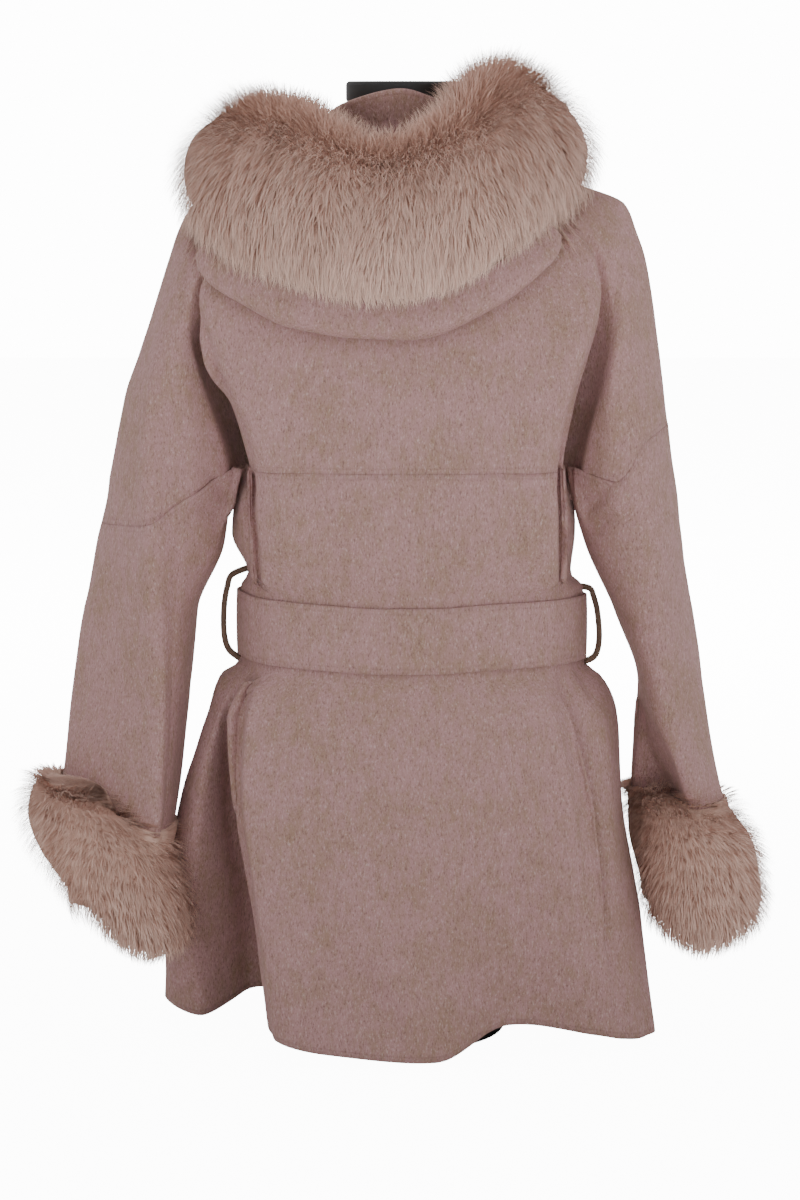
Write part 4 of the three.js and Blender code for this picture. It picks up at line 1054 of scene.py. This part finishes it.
def roll_at(s, a, shrink=0.0):
    """Fur collar's roll: an ellipse at each station, square to the roll's way in plan. Gives
    its point at an angle, the way out there and the way down over the roll."""
    def read(name, at):
        return column(FUR_ROLL, name, at)
    before, after = np.maximum(0, s - 0.1), np.minimum(len(FUR_ROLL) - 1, s + 0.1)
    way = [read(k, after) - read(k, before) for k in "xy"]
    out = unit(np.stack([way[1], -way[0], 0 * s], -1))
    deep, high = (np.maximum(read(k, s) - shrink, 4) for k in ("deep", "high"))
    point = np.stack([read(k, s) for k in "xyz"], -1) + out * (deep * np.cos(a))[..., None]
    point[..., 2] += high * np.sin(a)
    up = np.array([0, 0, 1.0])
    flow = unit(out * (deep * np.sin(a))[..., None] - up * (high * np.cos(a))[..., None])
    face = unit(out * (high * np.cos(a))[..., None] + up * (deep * np.sin(a))[..., None])
    return point, face, flow


def hairs(name, roots, face, flow, middles, length, lift, seed, keep, burst=0.0, lay=1.0):
    """Tapered ribbons, one a hair. Each leaves its root at the lift's slope, lies over along
    the flow and sinks a little, and drifts to the tip of its lock's middle hair. keep moves
    points out of the wool."""
    rng = np.random.default_rng(seed)
    n, parts = len(roots), HAIR_PARTS
    lay = np.broadcast_to(lay, n)
    size = length * rng.uniform(0.62, 1.12, n)
    side = unit(np.cross(flow, face))
    sway = rng.normal(0, 0.24, n) + waves(roots, 60, seed) * 0.5
    lift = lift * rng.uniform(0.6, 1.35, n)
    points = [roots]
    for k in range(parts):
        t = (k + 0.5) / parts
        way = unit(flow * ((0.55 + 0.6 * t) * lay)[..., None]
                   + face * (lift * (1 - 0.65 * t))[:, None]
                   + side * sway[:, None] + burst + np.array([0, 0, -HAIR_DROOP * t]))
        points.append(points[-1] + way * (size / parts)[:, None])
    share = np.linspace(0, 1, parts + 1)[None, :, None] ** 1.4
    line = keep(np.stack(points, 1) + (middles - roots)[:, None] * share * LOCK_PULL)
    taper = np.array([1.0, 0.9, 0.6])[None, :, None] * HAIR_WIDE / 2
    spread = side[:, None] * taper * rng.uniform(0.7, 1.3, (n, 1, 1))
    left, right = line[:, :parts] - spread, line[:, :parts] + spread
    count = 2 * parts + 1
    body = np.concatenate([np.stack([left, right], 2).reshape(n, 2 * parts, 3), line[:, parts:]], 1)
    start = np.arange(n)[:, None] * count
    squares = [start + [2 * k, 2 * k + 1, 2 * k + 3, 2 * k + 2] for k in range(parts - 1)]
    tips = start + [2 * parts - 2, 2 * parts - 1, 2 * parts]
    tone = np.clip(rng.normal(0.5, 0.2, n), 0, 1)
    along = np.append(np.repeat(np.arange(parts), 2) / parts, 1.0)
    trim = np.stack([np.repeat(tone, count), np.tile(along, n), np.zeros(n * count)], -1)
    piece(name, body, [np.concatenate(squares), tips], "dyed fur", None, trim)


def lock_middles(s, a, step_s, step_a, point_of, seed):
    """Middle of each hair's lock: the two parameters are rounded to a jittered grid."""
    rng = np.random.default_rng(seed)
    jitter = rng.uniform(-0.35, 0.35, (2, 997))
    cell = (np.floor(s / step_s) * 131 + np.floor(a / step_a) * 17).astype(int) % 997
    middle_s = (np.floor(s / step_s) + 0.5 + jitter[0][cell]) * step_s
    middle_a = (np.floor(a / step_a) + 0.5 + jitter[1][cell]) * step_a
    return point_of(middle_s, middle_a)


def fur_collar():
    """Fur on the hood's edge: an undercoat on the sunk roll, and hair in three pieces."""
    wool = Reach()
    s = np.linspace(0, len(FUR_ROLL) - 1, ROLL_RINGS)[:, None] + np.zeros((1, ROLL_RING))
    a = -np.linspace(0, 2 * math.pi, ROLL_RING, endpoint=False)[None, :] + 0 * s
    point, face, _ = roll_at(s, a, FUR_SINK)
    point = wool.clear(point + face * (waves(point, 16, 41) * 2.5)[..., None], 1.2)
    lofted("fur_undercoat_collar", point, "dyed fur", "fur_collar", UNDERCOAT)
    rng = np.random.default_rng(51)
    for name, start, end, count, seed in (("fur_collar_left", 0.25, 4.5, 27000, 74),
                                          ("fur_collar_back", 4.5, 7.5, 26000, 118),
                                          ("fur_collar_right", 7.5, 11.75, 27000, 147)):
        s = rng.uniform(start, end, count * 2)
        a = np.radians(rng.uniform(-105, 175, count * 2))
        # hairs stand evenly over the area, so a root stays with the chance of its patch
        stays = rng.uniform(0, 90, len(s)) < column(FUR_ROLL, "high", s)
        s, a = s[stays][:count], a[stays][:count]
        roots, face, flow = roll_at(s, a, FUR_SINK + 2)
        middles = lock_middles(s, a, 0.11, 0.13, lambda p, q: roll_at(p, q, FUR_SINK)[0], 61)
        length = np.clip(column(FUR_ROLL, "high", s) * 0.5, 13, 34)
        crest = ease((np.degrees(a) + rng.normal(0, 22, len(a)) - 5) / 110)
        hairs(name, wool.clear(roots, 0.5), face, flow, middles, length, 0.95 + 0.5 * crest, seed,
              lambda p: wool.clear(p, FUR_GAP), lay=1 - 0.85 * crest)


def cuff_at(table, v, a, shrink=0.0):
    """Cuff's outside: an ellipse for each level v from the bottom, leaning with its slope."""
    levels = table["levels"][::-1]
    left, right = column(levels, "left", v) + shrink, column(levels, "right", v) - shrink
    back, front = column(levels, "back", v) + shrink, column(levels, "front", v) - shrink
    right, front = np.maximum(right, left + 6), np.maximum(front, back + 6)
    x = left + (right - left) * (1 + np.cos(a)) / 2
    y = back + (front - back) * (1 + np.sin(a)) / 2
    z = column(levels, "z", v) + table["slope"] * (x - table["middle"])
    return np.stack([x, y, z], -1)


class Arm:
    """How far a sleeve reaches from its middle line, by angle and height. A cuff's fur is kept
    outside it."""
    CELLS, HIGH = 90, 10.0     # cells round the sleeve, and the height of each in mm

    def __init__(self, side):
        self.z = np.arange(60.0, 300.0, self.HIGH)
        u, z = np.meshgrid(np.linspace(0, 7, 700, endpoint=False), self.z, indexing="ij")
        ring = SLEEVES[side].at(u, z)
        self.middle = ring[..., :2].mean((0, 1))
        away = ring[..., :2] - self.middle
        angle = self.turn(away).astype(int) % self.CELLS
        self.out = np.zeros((self.CELLS, len(self.z)))
        heights = np.broadcast_to(np.arange(len(self.z)), angle.shape)
        np.maximum.at(self.out, (angle, heights), np.linalg.norm(away, axis=-1))

    def turn(self, away):
        """Angle of a way from the middle, in cells."""
        return np.degrees(np.arctan2(away[..., 1], away[..., 0])) % 360 / (360 / self.CELLS)

    def reach(self, p):
        """Sleeve's reach beside each point, between the two nearest cells of each kind."""
        a = self.turn(p[..., :2] - self.middle) - 0.5
        h = np.clip((p[..., 2] - self.z[0]) / self.HIGH, 0, len(self.z) - 1.001)
        i, j = np.floor(a).astype(int), np.floor(h).astype(int)
        s, t = a - i, h - j
        i, i2 = i % self.CELLS, (i + 1) % self.CELLS
        return ((self.out[i, j] * (1 - s) + self.out[i2, j] * s) * (1 - t)
                + (self.out[i, j + 1] * (1 - s) + self.out[i2, j + 1] * s) * t)

    def clear(self, p, gap):
        """Moves points that lie in the sleeve out to its face and a gap."""
        flat = np.concatenate([p[..., :2] - self.middle, 0 * p[..., :1]], -1)
        far = np.linalg.norm(flat, axis=-1)
        short = np.maximum(self.reach(p) + gap - far, 0) * (p[..., 2] > SLEEVE_END - 4)
        return p + unit(flat) * short[..., None]


def fur_cuffs():
    """Fur at the sleeve ends: an undercoat ring, open round the sleeve, and its hair."""
    up = np.array([0, 0, 1.0])
    for side, table, count, seed in (("left", CUFF_LEFT, 13000, 81),
                                     ("right", CUFF_RIGHT, 12500, 91)):
        last = len(table["levels"]) - 1
        arm = Arm(side)
        middle = np.append(arm.middle, 0)
        a = np.linspace(0, 2 * math.pi, CUFF_RING, endpoint=False)
        outer = arm.clear(np.stack([cuff_at(table, np.full_like(a, t), a, CUFF_SINK)
                                    for t in np.linspace(0.35, last - 0.5, 26)]), 3.0)
        inner = []
        for ring in (outer[-1], *outer[-2::-5], outer[0]):
            far = np.linalg.norm((ring - middle)[:, :2], axis=-1)
            radius = np.minimum(arm.reach(ring) + 1.2, far - 1)
            inner.append(middle + level(ring - middle) * radius[:, None] + up * (ring[:, 2:] - 1.0))
        rings = np.concatenate([outer, np.array(inner), outer[:1]])
        piece("fur_undercoat_cuff_" + side, rings,
              [quads(len(rings), CUFF_RING, closed_columns=True, flip=True)],
              "dyed fur", "fur_cuff_" + side, UNDERCOAT)
        rng = np.random.default_rng(seed)
        v = rng.uniform(0.1, last, count)
        a = rng.uniform(0, 2 * math.pi, count)

        def place(p, q):
            return cuff_at(table, p, q, CUFF_SINK + 1)
        roots = place(v, a)
        across = place(v, a + 0.02) - place(v, a - 0.02)
        down = unit(place(v - 0.05, a) - place(v + 0.05, a))
        face = unit(np.cross(down, across))
        face *= np.sign(np.sum(face * (roots - roots.mean(0)), -1, keepdims=True))
        middles = lock_middles(v, a, 0.6, 0.15, place, seed + 1)
        # the ring's upper face, from its rim in to the sleeve
        spot, share = rng.integers(0, CUFF_RING, CAP_HAIRS), rng.uniform(0, 1, (CAP_HAIRS, 1))
        cap = outer[-1][spot] * (1 - share) + inner[0][spot] * share
        away = level(cap - middle)
        roots = arm.clear(np.concatenate([roots, cap]), 2.0)
        length = np.append(np.full(count, CUFF_LENGTH), np.full(CAP_HAIRS, CAP_LENGTH))
        hairs("fur_cuff_hair_" + side, roots, np.concatenate([face, unit(away * 0.6 + up)]),
              np.concatenate([down, away]), np.concatenate([middles, cap + away * 8]), length, 1.0,
              seed + 2, lambda p: arm.clear(p, FUR_GAP),
              burst=0.55 * unit(roots - middle - up * CUFF_MIDDLE))


def lathe(profile, node, sides=96, centre_y=0.0):
    """Solid of revolution about the upright axis: profile rows are radius and height, with
    edges already rounded by close rows."""
    profile = np.array(profile, float)
    a = np.linspace(0, 2 * math.pi, sides, endpoint=False)
    rings = np.stack([profile[:, :1] * np.cos(a), profile[:, :1] * np.sin(a) + centre_y,
                      np.repeat(profile[:, 1:], sides, 1)], -1)
    lofted("shell_" + node, rings, "moulded plastic", node)


def rounded(radius, low, high, soft):
    """Profile of a drum with quarter-round edges of the given size."""
    t = np.linspace(0, math.pi / 2, 7)
    bottom = np.stack([radius - soft + soft * np.sin(t), low + soft - soft * np.cos(t)], -1)
    top = np.stack([radius - soft + soft * np.cos(t), high - soft + soft * np.sin(t)], -1)
    return np.concatenate([[[radius * 0.5, low]], bottom, top, [[radius * 0.5, high]]])


def dress_form():
    """Form inside the coat: torso up to the neck, cap, stem and round base."""
    sides = 120
    u = np.arange(sides) * 20 / sides
    a = math.pi * np.where(u < 12, 1 + u / 12, 2 + (u - 12) / 8)
    heights = np.array([row["z"] for row in FORM_SECTIONS], float)
    z = np.linspace(heights[0], heights[-1], 60)
    half, back, front = (curve(heights, [row[k] for row in FORM_SECTIONS], z)[:, None]
                         for k in ("half", "back", "front"))
    depth = np.where(np.sin(a) < 0, -back, front)
    rings = [np.stack([half * np.cos(a), depth * np.sin(a), np.repeat(z[:, None], sides, 1)], -1)]
    for h in np.linspace(850, NECKLINE, 10):
        out = YOKE.out(u, np.full_like(u, h))
        lap = FRONT_LAP * ease((19.2 - u) / 1.2) * ease((u - 13) / 1.5)
        deep = (WALL + FORM_SEAT + lap) / np.hypot(out[:, 0], out[:, 1])
        rings.append((YOKE.at(u, np.full_like(u, h)) - level(out) * deep[:, None])[None])
    foot = level(YOKE.at(u, np.full_like(u, NECK_ROW)))
    for h in (893, 905, 918, 929.5):
        ring = foot * FORM_NECK
        ring[:, 2] = h
        rings.append(ring[None])
    lofted("shell_form_torso", np.concatenate(rings), "moulded plastic", "form_torso")
    lathe(rounded(FORM_NECK, FORM_CAP_FROM + SEAM_GAP, FORM_TOP, 4), "form_neck_cap")
    lathe(rounded(FORM_STEM, FORM_BASE_THICK + SEAM_GAP, FORM_BOTTOM - SEAM_GAP, 1.5), "form_stem",
          48, FORM_DEPTH_OFFSET)
    lathe(rounded(FORM_BASE, 0, FORM_BASE_THICK, 3), "form_base", 128, FORM_DEPTH_OFFSET)


def studio():
    """Pale floor, soft light and the camera of the photograph: 102 mm on a 36 mm sensor,
    3.4 m away and tilted 8.4 degrees down."""
    sizes, collection = bpy.context.scene.coat_sizes, bpy.context.scene.collection
    tree, surface = fresh("studio paper")
    glow = put(tree, "Math", (put(tree, "LightPath", out="Is Camera Ray"), sizes.paper),
               operation="MULTIPLY")
    tree.links.new(put(tree, "BsdfPrincipled", {
        "Base Color": linear("#f4f3f1"), "Roughness": 0.9, "Emission Color": linear("#ffffff"),
        "Emission Strength": glow}), surface)
    mesh = bpy.data.meshes.new("floor")
    mesh.from_pydata([(-9, -9, 0), (9, -9, 0), (9, 9, 0), (-9, 9, 0)], [], [(0, 1, 2, 3)])
    floor = bpy.data.objects.new("floor", mesh)
    mesh.materials.append(bpy.data.materials["studio paper"])
    collection.objects.link(floor)
    world = bpy.data.worlds.new("studio")
    world.use_nodes = True
    tree = world.node_tree
    tree.nodes["Background"].inputs[0].default_value = (1, 1, 1, 1)
    # the paper behind the coat is brighter to the eye than the light it gives
    strength = put(tree, "MapRange", {"Value": put(tree, "LightPath", out="Is Camera Ray"),
                                      "To Min": sizes.sky, "To Max": sizes.backdrop})
    tree.links.new(strength, tree.nodes["Background"].inputs[1])
    bpy.context.scene.world = world
    for name, place, size, power in (("key", (0.9, -2.9, 2.9), 1.3, 36),
                                     ("fill", (-1.9, -2.5, 1.3), 1.5, 7),
                                     ("rear", (0.2, 2.2, 2.4), 1.6, 16)):
        light = bpy.data.lights.new(name, "AREA")
        light.size, light.energy = size, power * sizes.lamps
        lamp = bpy.data.objects.new(name, light)
        lamp.location = place
        # turned to a point half a metre up, in the middle of the coat
        way = np.array([0, 0, 0.5]) - np.array(place)
        lamp.rotation_euler = (math.acos(way[2] / np.linalg.norm(way)) - math.pi, 0,
                               math.atan2(way[1], way[0]) + math.pi / 2 + math.pi)
        collection.objects.link(lamp)
    camera = bpy.data.objects.new("camera", bpy.data.cameras.new("camera"))
    camera.data.lens, camera.data.sensor_width = 102, 36
    camera.data.dof.use_dof = False
    camera.location = (-0.002, -3.3635, 0.9347)
    camera.rotation_euler = (math.radians(81.6), 0, 0)
    collection.objects.link(camera)
    bpy.context.scene.camera = camera


def colour_property(name, description, code):
    """Colour property in sRGB, from a hex code."""
    return FloatVectorProperty(name=name, description=description, size=3, min=0, max=1,
                               default=tuple(int(code[i:i + 2], 16) / 255 for i in (1, 3, 5)),
                               subtype="COLOR_GAMMA")


def light_property(name, description, strength):
    """Strength of a light."""
    return FloatProperty(name=name, description=description, default=strength, min=0)


class CoatColours(bpy.types.PropertyGroup):
    """Colours of the coat's finishes."""
    wool: colour_property("Wool", "Main dye of the wool", "#b08a89")
    wool_warm: colour_property("Wool, warm", "Second dye that clouds the wool", "#9d8070")
    wool_dark: colour_property("Wool, dark fleck", "Dark fibres", "#64504a")
    wool_light: colour_property("Wool, light fleck", "Light fibres", "#d6c0ba")
    fur: colour_property("Fur", "Middle of a hair", "#e7c1b1")
    fur_root: colour_property("Fur, root", "Root of a hair", "#caa595")
    fur_tip: colour_property("Fur, tip", "Tip of a hair", "#fadfd1")
    form: colour_property("Dress form", "Shell of the dress form", "#1c1b1b")


class CoatSizes(bpy.types.PropertyGroup):
    """Light levels that a user would change."""
    sky: light_property("Sky", "Strength of the even light", 0.88)
    backdrop: light_property("Backdrop", "Brightness of the paper behind", 14.0)
    paper: light_property("Paper", "Added brightness of the floor", 12.0)
    lamps: light_property("Lamps", "Strength of the three lamps", 12.5)


def belt_parts():
    """Belt, knot, ends and loops."""
    belt_band()
    knot_and_ends()
    belt_loops()


class Maker:
    """What the operators share: each runs the function in make."""

    def execute(self, context):
        """Makes the pieces."""
        self.make()
        return {"FINISHED"}


class COAT_OT_stage(Maker, bpy.types.Operator):
    """Pale floor, soft light and the camera"""
    bl_idname = "coat.stage"
    bl_label = "Studio"
    make = staticmethod(studio)


class COAT_OT_body(Maker, bpy.types.Operator):
    """Back and two fronts from the hem to the yoke seam"""
    bl_idname = "coat.body"
    bl_label = "Back and fronts"
    make = staticmethod(skirt_and_back)


class COAT_OT_yoke(Maker, bpy.types.Operator):
    """Yoke over back and shoulders, and the upper fronts"""
    bl_idname = "coat.yoke"
    bl_label = "Yoke"
    make = staticmethod(yoke_panels)


class COAT_OT_sleeves(Maker, bpy.types.Operator):
    """Two sleeves from the drop seam to the cuffs"""
    bl_idname = "coat.sleeves"
    bl_label = "Sleeves"
    make = staticmethod(sleeve_tubes)


class COAT_OT_hood(Maker, bpy.types.Operator):
    """Folded hood, and the stand behind the neck"""
    bl_idname = "coat.hood"
    bl_label = "Hood and neck stand"
    make = staticmethod(hood_and_stand)


class COAT_OT_belt(Maker, bpy.types.Operator):
    """Belt round the waist, its knot and ends, and its loops"""
    bl_idname = "coat.belt"
    bl_label = "Belt, knot and loops"
    make = staticmethod(belt_parts)


class COAT_OT_form(Maker, bpy.types.Operator):
    """Dress form inside the coat"""
    bl_idname = "coat.form"
    bl_label = "Dress form"
    make = staticmethod(dress_form)


class COAT_OT_fur_collar(Maker, bpy.types.Operator):
    """Fur on the hood's edge"""
    bl_idname = "coat.fur_collar"
    bl_label = "Fur collar"
    make = staticmethod(fur_collar)


class COAT_OT_fur_cuffs(Maker, bpy.types.Operator):
    """Fur at the sleeve ends"""
    bl_idname = "coat.fur_cuffs"
    bl_label = "Fur cuffs"
    make = staticmethod(fur_cuffs)


class COAT_PT_panel(bpy.types.Panel):
    """Sidebar panel with the settings and one button a piece"""
    bl_label = "Coat"
    bl_space_type = "VIEW_3D"
    bl_region_type = "UI"
    bl_category = "Coat"

    def draw(self, context):
        """Settings first, then the operators in the order in which they run."""
        for group in (context.scene.coat_sizes, context.scene.coat_colours):
            for name in group.__annotations__:
                self.layout.prop(group, name)
        for made in OPERATORS:
            self.layout.operator(made.bl_idname)


OPERATORS = (
    COAT_OT_stage, COAT_OT_body, COAT_OT_yoke, COAT_OT_sleeves, COAT_OT_hood, COAT_OT_belt,
    COAT_OT_form, COAT_OT_fur_collar, COAT_OT_fur_cuffs,
)
CLASSES = (CoatColours, CoatSizes, *OPERATORS, COAT_PT_panel)


def register():
    """Registers the classes and the settings."""
    for made in CLASSES:
        bpy.utils.register_class(made)
    bpy.types.Scene.coat_colours = PointerProperty(type=CoatColours)
    bpy.types.Scene.coat_sizes = PointerProperty(type=CoatSizes)


def unregister():
    """Removes the settings and the classes."""
    del bpy.types.Scene.coat_sizes
    del bpy.types.Scene.coat_colours
    for made in reversed(CLASSES):
        bpy.utils.unregister_class(made)


def main():
    """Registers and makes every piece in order."""
    register()
    for step in (bpy.ops.coat.stage, bpy.ops.coat.body, bpy.ops.coat.yoke, bpy.ops.coat.sleeves,
                 bpy.ops.coat.hood, bpy.ops.coat.belt, bpy.ops.coat.form, bpy.ops.coat.fur_collar,
                 bpy.ops.coat.fur_cuffs):
        step()


if __name__ == "__main__":
    main()
